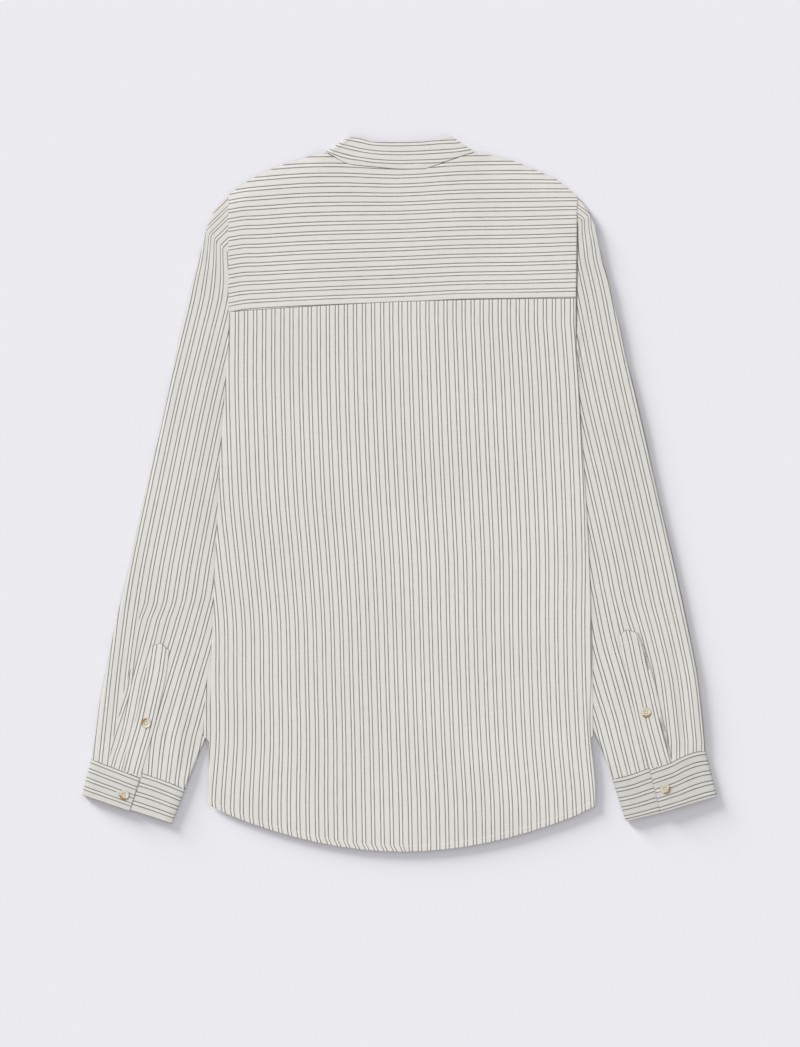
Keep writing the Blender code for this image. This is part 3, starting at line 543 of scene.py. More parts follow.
class Shape:
    """A panel's outline, read from its solid: its sides at any height, its ends at any place across.

    The signs are -1 for the left or low one and 1 for the right or high one.
    """

    def __init__(self, outline):
        self.outline = outline
        self.solid = Solid(outline.node)
        self.heights = {}
        self.sides = {}
        for sign, x, low, high in ((-1, outline.left_x, outline.low_left, outline.high_left),
                                   (1, outline.right_x, outline.low_right, outline.high_right)):
            self.heights[sign] = np.linspace(low + 0.4, high - 0.4, 70)
            self.sides[sign] = [self.solid.edge((x, y), (sign, 0.0)).x for y in self.heights[sign]]

    def side(self, sign, y):
        return float(np.interp(y, self.heights[sign], self.sides[sign]))

    def end(self, sign, x):
        outline = self.outline
        if sign > 0:
            start_y = min(outline.high_left, outline.high_right) - 10.0
        else:
            start_y = max(outline.low_left, outline.low_right) + 10.0
        x = min(self.side(1, start_y) - 0.1, max(self.side(-1, start_y) + 0.1, x))
        return self.solid.edge((x, start_y), (0.0, sign)).y

    def frame_lines(self, columns):
        """Lowest and highest place of each column."""
        outline, lines = self.outline, []
        for u in columns:
            low_x = mix(self.side(-1, outline.low_left), self.side(1, outline.low_right), u)
            high_x = mix(self.side(-1, outline.high_left), self.side(1, outline.high_right), u)
            lines.append((self.end(-1, low_x), self.end(1, high_x)))
        return lines

    def point(self, u, v, line):
        y = mix(line[0], line[1], v)
        return mix(self.side(-1, y), self.side(1, y), u), y


def soften(heights, times):
    """Rounds the facets off a grid of heights."""
    for _ in range(times):
        wide = np.pad(heights, 1, mode="edge")
        heights = (4.0 * heights + wide[:-2, 1:-1] + wide[2:, 1:-1] + wide[1:-1, :-2] + wide[1:-1, 2:]) / 8.0
    return heights


# Materials

class Tree:
    """A shader tree. Its methods add a node, feed it with sockets or values and give its result."""

    def __init__(self, tree):
        self.tree = tree

    def feed(self, slot, value):
        if isinstance(value, bpy.types.NodeSocket):
            self.tree.links.new(value, slot)
        else:
            slot.default_value = (*value, 1.0) if slot.type == "RGBA" else value

    def node(self, kind, *inputs, **attributes):
        """A node with its attributes; each input is a name or number with what it is fed with."""
        node = self.tree.nodes.new("ShaderNode" + kind)
        for name, value in attributes.items():
            setattr(node, name, value)
        for slot, value in inputs:
            self.feed(node.inputs[slot], value)
        return node

    def maths(self, operation, *values):
        return self.node("Math", *enumerate(values), operation=operation).outputs[0]

    def add(self, first, second):
        return self.maths("ADD", first, second)

    def less(self, first, second):
        return self.maths("SUBTRACT", first, second)

    def times(self, first, second):
        return self.maths("MULTIPLY", first, second)

    def span(self, *numbers):
        """Smooth step of a value between two limits, to 0 and 1 or to two more numbers."""
        return self.node("MapRange", *enumerate(numbers), interpolation_type="SMOOTHSTEP").outputs[0]

    def blend(self, factor, first, second, mode="MIX"):
        return self.node("Mix", (0, factor), (6, first), (7, second), data_type="RGBA",
                         blend_type=mode).outputs[2]

    def attribute(self, name):
        return self.node("Attribute", attribute_name=name).outputs["Fac"]

    def noise(self, vector, scale, detail=2.0, distortion=0.0):
        return self.node("TexNoise", ("Vector", vector), ("Scale", scale), ("Detail", detail),
                         ("Distortion", distortion)).outputs["Fac"]

    def object_noise(self, scale, detail=2.0, distortion=0.0):
        return self.noise(self.node("TexCoord").outputs["Object"], scale, detail, distortion)

    def grain_noise(self, grain, across, along, detail=2.0, seed=0.0):
        """Noise stretched along or across the grain; both scales are cells in a metre."""
        moved = self.node("Mapping", ("Vector", grain), ("Scale", (across, along, 1.0)),
                          ("Location", (seed, seed * 1.7, seed)))
        return self.noise(moved.outputs[0], 1.0, detail)

    def group(self, build, grain, **numbers):
        """The results of a node group, built where it is still missing."""
        built = bpy.data.node_groups.get(build.__name__) or build()
        return self.node("Group", ("Grain", grain), *numbers.items(), node_tree=built).outputs


def node_group(name, numbers, results):
    """The tree of a new node group, what it is given (the grain and numbers) and its results."""
    group = bpy.data.node_groups.new(name, "ShaderNodeTree")
    add_socket = group.interface.new_socket
    add_socket("Grain", in_out="INPUT", socket_type="NodeSocketVector")
    for number, default in numbers.items():
        add_socket(number, in_out="INPUT", socket_type="NodeSocketFloat").default_value = default
    for result in results:
        add_socket(result, in_out="OUTPUT", socket_type="NodeSocketFloat")
    given = group.nodes.new("NodeGroupInput").outputs
    return Tree(group), given, group.nodes.new("NodeGroupOutput").inputs


def pinstripe_pairs():
    """Pairs of lines along the grain: masks of the lines and of the white between them."""
    tree, given, results = node_group("pinstripe_pairs", {"Repeat": 0.0104, "Gap": 0.0037, "Line": 0.001},
                                      ("Lines", "Between"))
    across = tree.node("SeparateXYZ", (0, given["Grain"])).outputs[0]
    wander = tree.times(tree.less(tree.grain_noise(given["Grain"], 260.0, 90.0), 0.5), LINE_WANDER)
    half_gap, half_line = tree.times(given["Gap"], 0.5), tree.times(given["Line"], 0.5)
    shifted = tree.less(tree.add(across, wander), half_gap)
    wrapped = tree.maths("WRAP", shifted, tree.times(given["Repeat"], 0.5), tree.times(given["Repeat"], -0.5))
    from_middle = tree.maths("ABSOLUTE", wrapped)
    from_line = tree.maths("ABSOLUTE", tree.less(from_middle, half_gap))
    tree.feed(results["Lines"], tree.span(from_line, tree.add(half_line, LINE_BLUR),
                                          tree.less(half_line, LINE_BLUR), 0.0, 1.0))
    tree.feed(results["Between"], tree.span(from_middle, tree.add(half_gap, 0.3 * MM),
                                            tree.less(half_gap, 0.9 * MM), 0.0, 1.0))
    return tree.tree


def plain_weave():
    """Plain weave: thread height, and the tone of slubs and of uneven yarn."""
    tree, given, results = node_group("plain_weave", {"Threads": 2600.0}, ("Height", "Slub", "Yarn"))
    grain = given["Grain"]
    parts = tree.node("SeparateXYZ", (0, grain)).outputs
    turn = tree.times(given["Threads"], math.pi)
    warp, weft = (tree.maths("SINE", tree.times(part, turn)) for part in (parts[0], parts[1]))
    lumps = tree.grain_noise(grain, 900.0, 900.0, 1.0, 4.0)
    tree.feed(results["Height"], tree.add(tree.times(tree.times(warp, weft), 0.5), lumps))
    weft_slub = tree.span(tree.grain_noise(grain, 34.0, 900.0, 2.0, 2.0), 0.6, 0.8)
    warp_slub = tree.span(tree.grain_noise(grain, 1000.0, 24.0, 2.0, 7.0), 0.6, 0.82)
    tree.feed(results["Slub"], tree.maths("MAXIMUM", weft_slub, tree.times(warp_slub, 0.7)))
    tree.feed(results["Yarn"], tree.add(tree.times(tree.grain_noise(grain, 1300.0, 60.0), 0.6),
                                        tree.times(tree.grain_noise(grain, 50.0, 1300.0, 2.0, 5.0), 0.4)))
    return tree.tree


def material(name, paint):
    """The material of a name; where it is missing, it is made with the shader inputs that paint gives."""
    found = bpy.data.materials.get(name)
    if found is None:
        found = bpy.data.materials.new(name)
        found.use_nodes = True
        tree = Tree(found.node_tree)
        shader = found.node_tree.nodes["Principled BSDF"]
        for slot, value in paint(tree).items():
            tree.feed(shader.inputs[slot], value)
    return found


def scaled(colour, factor):
    return [min(1.0, channel * factor) for channel in colour]


def shirting(name="striped_shirting", tone=1.0, folds=0):
    """Off-white cotton with pairs of grey lines, following the piece's own grain map; a tone below 1 darkens
    its colours as painted shade.
    """
    settings = settings_of("cloth")

    def paint(tree):
        grain = tree.node("UVMap", uv_map="grain").outputs[0]
        for number in range(1, folds + 1):
            past = tree.maths("GREATER_THAN", tree.attribute(f"past_fold_{number}"), 0.0)
            own = tree.node("UVMap", uv_map=f"grain_{number}").outputs[0]
            grain = tree.node("Mix", (0, past), (4, grain), (5, own), data_type="VECTOR").outputs[1]
        stripes = tree.group(pinstripe_pairs, grain, Repeat=settings.repeat, Gap=settings.gap,
                             Line=settings.line)
        weave = tree.group(plain_weave, grain)
        ground, white, dark = (scaled(colour, tone)
                               for colour in (settings.ground, settings.white, settings.dark))
        # Slubs, the white between the lines, the lines worn by uneven yarn, and slow clouds over all
        base = tree.blend(tree.times(weave["Slub"], 0.75), ground, white)
        base = tree.blend(stripes["Between"], base, white)
        worn = tree.span(weave["Yarn"], 0.3, 0.75, 1.0, 0.72)
        base = tree.blend(tree.times(stripes["Lines"], worn), base, dark)
        clouds = tree.span(tree.object_noise(9.0, 3.0), 0.3, 0.7, 0.965, 1.0)
        shade = tree.times(clouds, tree.span(weave["Yarn"], 0.25, 0.8, 0.93, 1.0))
        darker = tree.node("CombineColor", *((slot, shade) for slot in range(3))).outputs[0]
        bump = tree.node("Bump", ("Strength", 0.35), ("Distance", 0.12 * MM), ("Height", weave["Height"]))
        return {"Base Color": tree.blend(1.0, base, darker, "MULTIPLY"), "Normal": bump.outputs[0],
                "Roughness": tree.span(weave["Yarn"], 0.2, 0.8, 0.78, 0.9), "Specular IOR Level": 0.3,
                "Sheen Weight": 0.05, "Sheen Roughness": 0.5}

    return material(name, paint)


def thread_material():
    def paint(tree):
        colour = settings_of("sewing").colour
        twist = tree.object_noise(2500.0)
        return {"Base Color": tree.blend(twist, scaled(colour, 0.85), colour),
                "Roughness": tree.span(twist, 0.3, 0.7, 0.5, 0.7)}

    return material("sewing_thread", paint)


def horn_material():
    """Cream horn with brown patches, by the piece's own amount of amber."""
    def paint(tree):
        settings = settings_of("buttons")
        cloud = tree.object_noise(420.0, 3.0, 1.2)
        patch = tree.add(tree.attribute("amber"), tree.times(tree.less(cloud, 0.5), 0.55))
        cream = tree.blend(tree.span(cloud, 0.35, 0.7), settings.cream, scaled(settings.cream, 1.18))
        return {"Base Color": tree.blend(tree.span(patch, 0.3, 0.8), cream, settings.amber),
                "Roughness": tree.span(cloud, 0.2, 0.8, 0.3, 0.45), "Coat Weight": 0.12,
                "Subsurface Weight": 0.08, "Subsurface Radius": (0.002, 0.0012, 0.0006)}

    return material("horn", paint)


def paper_material():
    def paint(tree):
        colour = settings_of("stage").floor
        return {"Base Color": tree.blend(tree.object_noise(700.0), scaled(colour, 0.99), colour),
                "Roughness": 0.9, "Specular IOR Level": 0.2}

    return material("floor_paper", paint)


# Cloth

def add_object(name, data):
    thing = bpy.data.objects.new(name, data)
    bpy.context.scene.collection.objects.link(thing)
    return thing


def add_piece(name, builder, paint, slot, *nodes):
    """A finished mesh as a piece that rides with the shirt and stands for its solids."""
    mesh = bpy.data.meshes.new(name)
    builder.to_mesh(mesh)
    builder.free()
    mesh.materials.append(paint)
    mesh.shade_smooth()
    piece = add_object(name, mesh)
    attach(piece, "root")
    if nodes:
        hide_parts(*nodes)
    return piece


def cloth_mesh(places, grain, away_from, closed=False):
    """A sheet of quads through a grid of places, with its grain map; both are in millimetres.

    For each sharp fold the grain has two more columns: across the cloth past it, and the distance past it.
    Its faces look away from a height in metres, or outwards where that is None.
    """
    rows, columns = places.shape[:2]
    builder = bmesh.new()
    bmesh.ops.create_grid(builder, x_segments=columns - 1, y_segments=rows - 1, size=0.5)
    folds = grain.shape[2] // 2 - 1
    for number in range(folds):
        builder.verts.layers.float.new(f"past_fold_{number + 1}")
    for number in range(folds + 1):
        builder.loops.layers.uv.new(f"grain_{number}" if number else "grain")
    past = builder.verts.layers.float.values()
    cell = {}
    for vertex in builder.verts:
        column = round((vertex.co.x + 0.5) * (columns - 1))
        row = round((vertex.co.y + 0.5) * (rows - 1))
        cell[vertex] = (row, column)
        vertex.co = metres(places[row, column])
        for number in range(folds):
            vertex[past[number]] = grain[row, column, 3 + 2 * number]
    for number, layer in enumerate(builder.loops.layers.uv.values()):
        for face in builder.faces:
            for loop in face.loops:
                place = grain[cell[loop.vert]]
                loop[layer].uv = place[2 * number] * MM, place[1] * MM
    if closed:
        bmesh.ops.remove_doubles(builder, verts=builder.verts, dist=1e-6)
    if away_from is None:
        bmesh.ops.recalc_face_normals(builder, faces=builder.faces)
        return builder
    builder.normal_update()
    tilt = sum(face.normal.z * (face.calc_center_median().z - away_from) for face in builder.faces)
    if tilt < 0:
        bmesh.ops.reverse_faces(builder, faces=builder.faces)
    return builder


def give_wall(piece, wall=None):
    solid = piece.modifiers.new("cloth thickness", "SOLIDIFY")
    solid.thickness = (wall or in_mm("wall")) * MM
    solid.offset = -1.0
    return piece


def round_edge(distance, depth, width=EDGE_ROUND):
    """How far a folded edge has turned down at a distance from it."""
    share = 1.0 - min(1.0, max(0.0, distance) / width)
    return depth * (1.0 - math.sqrt(1.0 - share * share))


# Extra places at the ends of a mesh's rows and columns, from its edge inwards
FINE_EDGE = (0.0, 0.25, 0.6, 1.0, 1.6, 2.6, 4.0)
FINE_BAND = FINE_EDGE[:5]
FINE_ARMHOLE = (0.0, 0.8, 1.6, 2.2, 2.6, 2.9, 3.2, 3.5, 3.9, 4.4, 5.2, 7.0)
FINE_SEAM = (0.0, 0.3, 0.7, 1.2, 2.0, 3.0, 4.0, 5.0, 5.6, 6.0, 6.3, 6.5, 6.7, 7.0, 7.4, 8.2, 9.4, 11.0)
FINE_HEM = (0.0, 0.3, 0.7, 1.2, 2.0, 3.0, 4.0, 5.0, 6.0, 6.6, 7.4, 8.6, 10.4)
# How far the middle of a stitch lies above the cloth, and below the hidden panels
STITCH_LIFT = 0.06
HIDDEN_LIFT = -0.02
# From the back's hem to its stitches
HEM_STITCHES = 5.9
# Size of a cell of the hidden panels and of the narrow strips
HIDDEN_CELL = 3.4
STRIP_CELL = 1.6
# Where the fronts' stripes start, and the thickness of the button band's folded cloth
FRONT_STRIPE = 2.2
BAND_DOUBLE = 0.7


def back_grain(x, y):
    return through(read(BACK_STRIPES, y), BACK_PAIRS, x) * in_mm("repeat"), y


def yoke_grain(x, y):
    return -through(read(YOKE_STRIPES, x), YOKE_PAIRS, y) * in_mm("repeat"), x


def front_grain(x, y):
    return x + FRONT_STRIPE, y


def panel_cloth(outline, columns, rows, grain_at, relief, hidden):
    """Cloth on a panel's solid, or below a hidden one: its places, heights and grain on one grid."""
    shape = Shape(outline)
    lines = shape.frame_lines(columns)
    places, grain = grids(rows, columns, 3, 2)
    read_height = shape.solid.under if hidden else shape.solid.top
    for j, v in enumerate(rows):
        for i, u in enumerate(columns):
            x, y = shape.point(u, v, lines[i])
            inwards = mix(x, (outline.left_x + outline.right_x) / 2, 0.004)
            places[j, i] = x, y, read_height(inwards, y)
            grain[j, i] = grain_at(x, y)
    fill_gaps(places[..., 2])
    places[..., 2] = soften(places[..., 2], 10)
    for j in range(len(rows)):
        for i, (low_end, high_end) in enumerate(lines):
            x, y, z = places[j, i]
            across = min(x - shape.side(-1, y), shape.side(1, y) - x)
            lean, lift = relief(x, y, across, y - low_end, high_end - y)
            places[j, i, 2] = z + lift
            grain[j, i, 0] -= lean
    return places, grain


def grids(rows, columns, *depths):
    return [np.zeros((len(rows), len(columns), depth)) for depth in depths]


def fill_gaps(heights):
    """Heights at the very edge that missed the solid are taken from their neighbours."""
    for _ in range(40):
        missing = np.isnan(heights)
        if not missing.any():
            return
        wide = np.pad(heights, 1, constant_values=np.nan)
        around = np.stack([wide[:-2, 1:-1], wide[2:, 1:-1], wide[1:-1, :-2], wide[1:-1, 2:]])
        known = np.where(np.isnan(around), 0.0, around).sum(0)
        count = (~np.isnan(around)).sum(0)
        heights[missing & (count > 0)] = (known / np.maximum(count, 1))[missing & (count > 0)]


def on_cloth(places, columns, rows, u, v):
    """The place on a cloth's grid at shares of its width and length."""
    i, j = np.interp(u, columns, range(len(columns))), np.interp(v, rows, range(len(rows)))
    left, low = min(int(i), len(columns) - 2), min(int(j), len(rows) - 2)
    lower = mix(places[low, left], places[low, left + 1], i - left)
    upper = mix(places[low + 1, left], places[low + 1, left + 1], i - left)
    return mix(lower, upper, j - low)


def make_panel(outline, columns, rows, grain_at, relief, seams, steps, hidden=False, lowest=-math.inf,
               wall=None):
    """A panel's cloth and its rows of stitches, each from one place to another in shares of the cloth."""
    places, grain = panel_cloth(outline, columns, rows, grain_at, relief, hidden)
    places[..., 2] = np.maximum(places[..., 2], lowest)
    builder = cloth_mesh(places, grain, ABOVE if hidden else BELOW)
    piece = add_piece(outline.node + "_cloth", builder, shirting(), "shirting", outline.node)
    runs = [[on_cloth(places, columns, rows, mix(start[0], end[0], step / steps),
                      mix(start[1], end[1], step / steps)) for step in range(steps + 1)]
            for start, end in seams]
    add_thread(outline.node + "_stitches", seam_bits(runs, HIDDEN_LIFT if hidden else STITCH_LIFT))
    return give_wall(piece, wall)


def cross_seam(v, inset=0.004):
    """One row of stitches across a cloth, from side to side."""
    return [((inset, v), (1.0 - inset, v))]


def hem_band(above_hem):
    """1 on a hem's double cloth and 0 above it."""
    return ease(HEM_WIDTH + 0.9, HEM_WIDTH - 0.6, above_hem)


def make_back():
    def relief(x, y, across, above_hem, below_seam):
        # The hem is rolled, its stitches pull it into ropes, and the right edge turns down below the armhole
        roping = math.sin((x + 0.9 * above_hem) * 0.95) * 0.5 + noise.noise(Vector((x * 0.21, 0.3, 5.0)))
        lift = hem_band(above_hem) * (0.3 + 0.1 * roping * ease(0.0, 3.0, above_hem))
        lift += crease_lift(BACK_CREASES, x, y) + 0.16 * drift(x, y, 1.0)
        if x > 0.0:
            lift -= round_edge(across, mix(0.7, 2.6, ease(-60.0, 20.0, y)), 1.5)
        elif y > 150.0:
            lift -= round_edge(across, 0.15, 0.8)
        else:
            lift -= round_edge(across, 0.5)
        lift -= round_edge(above_hem, 0.55, 1.2) + 0.35 * ease(2.5, 0.0, below_seam)
        # The stripes lean in the left part of the hem
        lean = HEM_LEAN * ease(HEM_WIDTH + 1.5, 0.0, above_hem) * ease(14.0, 0.0, x)
        return lean * mix(0.3, 1.0, ease(-110.0, -70.0, x)), lift

    columns, rows = shares(BACK.width, FINE_EDGE, FINE_EDGE), shares(BACK.height, FINE_HEM, FINE_EDGE)
    return make_panel(BACK, columns, rows, back_grain, relief, cross_seam(HEM_STITCHES / BACK.height), 400)


def make_yoke():
    def relief(x, y, across, above_seam, below_top):
        # Thicker over the seam allowance, with a groove along its stitches
        band = ease(SEAM_ALLOWANCE + 1.2, SEAM_ALLOWANCE - 0.8, above_seam)
        lift = 0.28 * band + crease_lift(YOKE_CREASES, x, y) + 0.12 * drift(x, y, 3.0, 60.0, 0.6)
        turned = 0.15 + 2.25 * ease(2.0, 20.0, below_top) if x > 0.0 else 0.15
        lift -= round_edge(above_seam, 0.65, 1.4) + round_edge(across, turned)
        lift -= round_edge(below_top, 0.4) + 0.3 * max(0.0, 1.0 - abs(above_seam - SEAM_ALLOWANCE) / 0.8)
        return 0.0, lift

    columns, rows = shares(YOKE.width, FINE_EDGE, FINE_EDGE), shares(YOKE.height, FINE_SEAM, FINE_EDGE)
    seam = cross_seam(SEAM_ALLOWANCE / YOKE.height, 0.003)
    return make_panel(YOKE, columns, rows, yoke_grain, relief, seam, 300)


def make_front(outline):
    def relief(x, y, across, above_hem, below_top):
        lift = 0.14 * (1.0 + drift(x, y, 12.0 + outline.width, 55.0)) * ease(0.0, 12.0, across)
        lift += round_edge(across, 0.35) + round_edge(above_hem, 0.4, 1.2) - 0.04 * hem_band(above_hem)
        return 0.0, max(lift, 0.0)

    columns = shares(outline.width, FINE_EDGE, FINE_EDGE, HIDDEN_CELL)
    rows = shares(outline.height, FINE_HEM, FINE_EDGE, HIDDEN_CELL)
    seam = cross_seam((HEM_WIDTH - 0.8) / outline.height)
    return make_panel(outline, columns, rows, front_grain, relief, seam, 220, hidden=True, lowest=0.05)


def make_button_band():
    def relief(x, y, across, above_hem, below_top):
        return 0.0, round_edge(across, 0.3, 0.9) + 0.06 * (1.0 + drift(x, y, 20.0, 30.0))

    u = BAND_INSET / BUTTON_BAND.width
    columns = shares(BUTTON_BAND.width, FINE_BAND, FINE_BAND, STRIP_CELL)
    rows = shares(BUTTON_BAND.height, FINE_EDGE, FINE_EDGE, HIDDEN_CELL)
    seams = [((side, 0.002), (side, 0.998)) for side in (u, 1.0 - u)]
    return make_panel(BUTTON_BAND, columns, rows, front_grain, relief, seams, 300, hidden=True,
                      wall=BAND_DOUBLE)


# Sleeves

def sleeve_pairs(groups, bend, x, y):
    """Number of stripe pairs across a sleeve's upper side, outside its sharp folds and past each."""
    line_x, line_y = bend.end_x - bend.start_x, bend.end_y - bend.start_y
    beside = (x - bend.start_x) * line_y - (y - bend.start_y) * line_x
    if beside * math.copysign(1.0, bend.start_x) > 0:
        step = beside / (bend.run_y * line_x - bend.run_x * line_y)
        x, y = x + bend.run_x * step, y + bend.run_y * step
    first, pitch = read(groups[0].stripes, y)
    pairs = [(x - first) / pitch]
    for group in groups[1:]:
        first, pitch = read(group.stripes, y)
        own = group.pair + (x - first) / pitch
        if group.fold:
            pairs.append(mix(pairs[0], own, ease(GROUPS_BELOW, GROUPS_BELOW - GROUP_OPENING, y)))
        elif y < GROUPS_BELOW:
            line = mix(group.top_x, group.bottom_x, (y - group.top_y) / (group.bottom_y - group.top_y))
            blur = mix(BLUR_ABOVE, BLUR_BELOW, ease(GROUPS_BELOW, group.top_y, y))
            inwards = 1.0 if group.bottom_x < 0 else -1.0
            pairs[-1] = mix(pairs[-1], own, ease(-blur, blur, (x - line) * inwards))
    return pairs


def sleeve_edges(solid, rings, share):
    """Outer and inner fold of the flattened sleeve at a share of its length."""
    outer_x, outer_y, inner_x, inner_y = read(rings, mix(0.0025, 0.9975, share))
    outer, inner = Vector((outer_x, outer_y)), Vector((inner_x, inner_y))
    middle = (outer + inner) / 2
    found = solid.edge(middle, inner - middle, 200.0)
    return solid.edge(middle, outer - middle, 200.0), inner.lerp(found, ease(0.3, 0.4, share))


def sleeve_place(outer, inner, share, along=0.0):
    """A place across a sleeve, whose end reaches down inside the cuff."""
    across = (inner - outer).normalized()
    down = Vector((across.y, -across.x)) * math.copysign(1.0, across.x)
    inside = max(0.0, 1.0 - (1.0 - along) / CUFF_SHARE)
    return outer.lerp(inner, mix(share, 0.5, 0.02 * inside)) + down * CUFF_REACH * inside


def armhole_heights(outer, inner, across, side, groove):
    """Height of the body's cloth beside each place of the armhole, and how deep the seam lies there."""
    yoke, back = Solid("yoke"), Solid("back")
    heights, depths = [], []
    for share in across:
        x, y = outer.lerp(inner, share)
        x -= side * BODY_INSET
        heights.append(np.fmax(yoke.top(x, y), back.top(x, y)))
        depths.append(mix(0.3, 1.0, ease(322.0, 288.0, y)) * groove)
    heights = np.array(heights)
    known = ~np.isnan(heights)
    return np.interp(np.arange(len(heights)), np.flatnonzero(known), heights[known]), depths


def tube_heights(solid, edges, across):
    """Heights of a flattened tube's upper and lower side, read from its solid away from the folds."""
    high = np.full((len(edges), len(across)), np.nan)
    low = high.copy()
    for j, (outer, inner) in enumerate(edges):
        margin = FOLD_MARGIN / (inner - outer).length
        for i, share in enumerate(across):
            x, y = sleeve_place(outer, inner, min(1.0 - margin, max(margin, share)))
            high[j, i], low[j, i] = solid.top(x, y), solid.under(x, y)
    fill_gaps(high)
    fill_gaps(low)
    return soften(high, 8), soften(low, 8)


def sleeve_cloth(sleeve):
    """Places and grain round a sleeve: along its underside to the outer fold and back on top."""
    side, cuff = sleeve.side, sleeve.cuff
    solid = Solid(sleeve.node)
    covers = [Solid(name) for name in sleeve.covers]
    along = shares(SLEEVE_LENGTH, FINE_ARMHOLE, FINE_EDGE, SLEEVE_CELL)
    last = SLEEVE_COLUMNS
    # Closer together towards the folds
    across = [mix(step / last, 0.5 - 0.5 * math.cos(math.pi * step / last), 0.6) for step in range(last + 1)]
    edges = [sleeve_edges(solid, sleeve.rings, share) for share in along]
    high, low = tube_heights(solid, edges, across)
    folds = [group.fold for group in sleeve.groups if group.fold]
    places = np.zeros((len(along), 2 * last + 1, 3))
    grain = np.zeros((len(along), 2 * last + 1, 2 + 2 * len(folds)))
    repeat = in_mm("repeat")
    body, depths = armhole_heights(*edges[0], across, side, sleeve.groove)
    armhole = (edges[0][1] - edges[0][0]).normalized()
    for j, (outer, inner) in enumerate(edges):
        width = (inner - outer).length
        from_armhole, from_cuff = along[j] * SLEEVE_LENGTH, (1.0 - along[j]) * SLEEVE_LENGTH
        tucked = side * max(0.0, 1.0 - from_armhole / TUCK_LENGTH) * ARMHOLE_TUCK
        fold = sleeve_pairs(sleeve.groups, sleeve.bend, outer.x, outer.y)[0]
        for i, share in enumerate(across):
            x, y = sleeve_place(outer, inner, share, along[j])
            half, centre = (high[j, i] - low[j, i]) / 2, (high[j, i] + low[j, i]) / 2
            near = min(share, 1.0 - share) * width
            closed = 1.0 - min(1.0, near / (1.1 * half + 0.5))
            rise = math.sqrt(max(0.0, 1.0 - closed * closed))
            calm = ease(0.0, 9.0, near)
            pairs = sleeve_pairs(sleeve.groups, sleeve.bend, x - tucked, y)
            # Upper side: creases, slow waves and, above the cuff, gathers
            lift = crease_lift(sleeve.creases, x, y) + 0.2 * drift(x, y, 30.0 + side, 46.0, 2.4)
            gathers = noise.noise(Vector((pairs[-1] * 0.9, 0.0, 40.0 + side)))
            lift += ease(45.0, 0.0, from_cuff) * 0.3 * gathers
            top = mix(SLEEVE_EDGE, centre + half + calm * lift, rise)
            # Beside the armhole it lies just below the body's cloth
            past = Vector((x - tucked, y)) - edges[0][0]
            past = side * (past.y * armhole.x - past.x * armhole.y)
            step = ARMHOLE_STEP + depths[i] * ease(1.5, 0.3, past) + 0.6 * ease(-1.5, -2.5, past)
            top = mix(top, body[i] - step, ease(0.0, 3.0, near) * ease(6.0, 1.5, past))
            # Its end lies inside the cuff, and it stays below the pieces on it
            outside = share < cuff.overlap_top
            start = 9.0 if outside else 14.0
            wall = ease(start, start - 7.5, from_cuff) * ease(0.0, 3.0, near)
            top = mix(top, read(cuff.outer_part if outside else cuff.inner_part, share)[0] - 0.1, wall)
            for cover in covers:
                ceiling = cover.under(x, y)
                if ceiling > 1.0:
                    top = min(top, ceiling - 0.12)
            # Underside
            lift = 0.12 * calm * (1.0 + drift(x, y, 36.0 + side, 46.0, 2.4)) + 0.5 * ease(14.0, 4.0, near)
            under = mix(mix(SLEEVE_EDGE, centre - half, rise) + lift, CUFF_WALL / 2 + 0.15, wall)
            below, above = last - i, last + i
            places[j, below] = x - tucked, y, under
            places[j, above] = x - tucked, y, top
            grain[j, below, :2] = (2.0 * fold - pairs[0]) * repeat, from_armhole
            grain[j, above, :2] = pairs[0] * repeat, from_armhole
            for number, line in enumerate(folds, 1):
                own = slice(2 * number, 2 * number + 2)
                grain[j, below, own] = 0.0, -1.0
                grain[j, above, own] = pairs[number] * repeat, (read(line, y)[0] - x) * side
    places[:, 0, 2] = places[:, -1, 2]
    return places, grain


def make_sleeve(sleeve):
    places, grain = sleeve_cloth(sleeve)
    builder = cloth_mesh(places, grain, float(places[..., 2].mean()) * MM, closed=True)
    # The sleeve's tone darkens a copy of the cloth's colours as painted shade
    cloth = shirting("painted_shade_shirting_" + sleeve.node, sleeve.tone, grain.shape[2] // 2 - 1)
    return give_wall(add_piece(sleeve.node + "_cloth", builder, cloth, "shirting", sleeve.node))


# Collar, cuffs and plackets: flat bands round a middle surface

def distances(places):
    """Distance run to each place of a line."""
    return np.concatenate([[0.0], np.cumsum(np.linalg.norm(np.diff(places, axis=0), axis=1))])


def smooth_rows(knots, places, cell):
    """Rows at even steps on smooth curves through knots, which lie as far apart as their places."""
    knots, at = np.array(knots), distances(np.array(places))
    slopes = np.gradient(knots, at, axis=0)
    wanted = np.linspace(0.0, at[-1], round(at[-1] / cell) + 1)
    index = np.clip(np.searchsorted(at, wanted, side="right") - 1, 0, len(at) - 2)
    step = (at[index + 1] - at[index])[:, None]
    share = (wanted - at[index])[:, None] / step
    low, high = index, index + 1
    return curve(knots[low], knots[high], slopes[low] * step, slopes[high] * step, share), wanted


def run_lengths(grid, axis):
    """Distance run on a grid of places along one axis."""
    steps = np.linalg.norm(np.diff(grid, axis=axis), axis=2)
    pad = [(0, 0), (0, 0)]
    pad[axis] = (1, 0)
    return np.cumsum(np.pad(steps, pad), axis=axis)


def band_faces(middle, half, edge):
    """Both faces of a flat band with rounded edges, round its middle surface."""
    normal = np.cross(np.gradient(middle, axis=1), np.gradient(middle, axis=0))
    normal /= np.linalg.norm(normal, axis=2)[..., None]
    nearest = np.full(middle.shape[:2], 1e9)
    for axis in (0, 1):
        run = run_lengths(middle, axis)
        end = run[-1:] if axis == 0 else run[:, -1:]
        nearest = np.minimum(nearest, np.minimum(run, end - run))
    closed = 1.0 - np.minimum(1.0, nearest / edge)
    rise = (half * np.sqrt(np.maximum(0.0, 1.0 - closed ** 2)))[..., None]
    return middle + normal * rise, middle - normal * rise


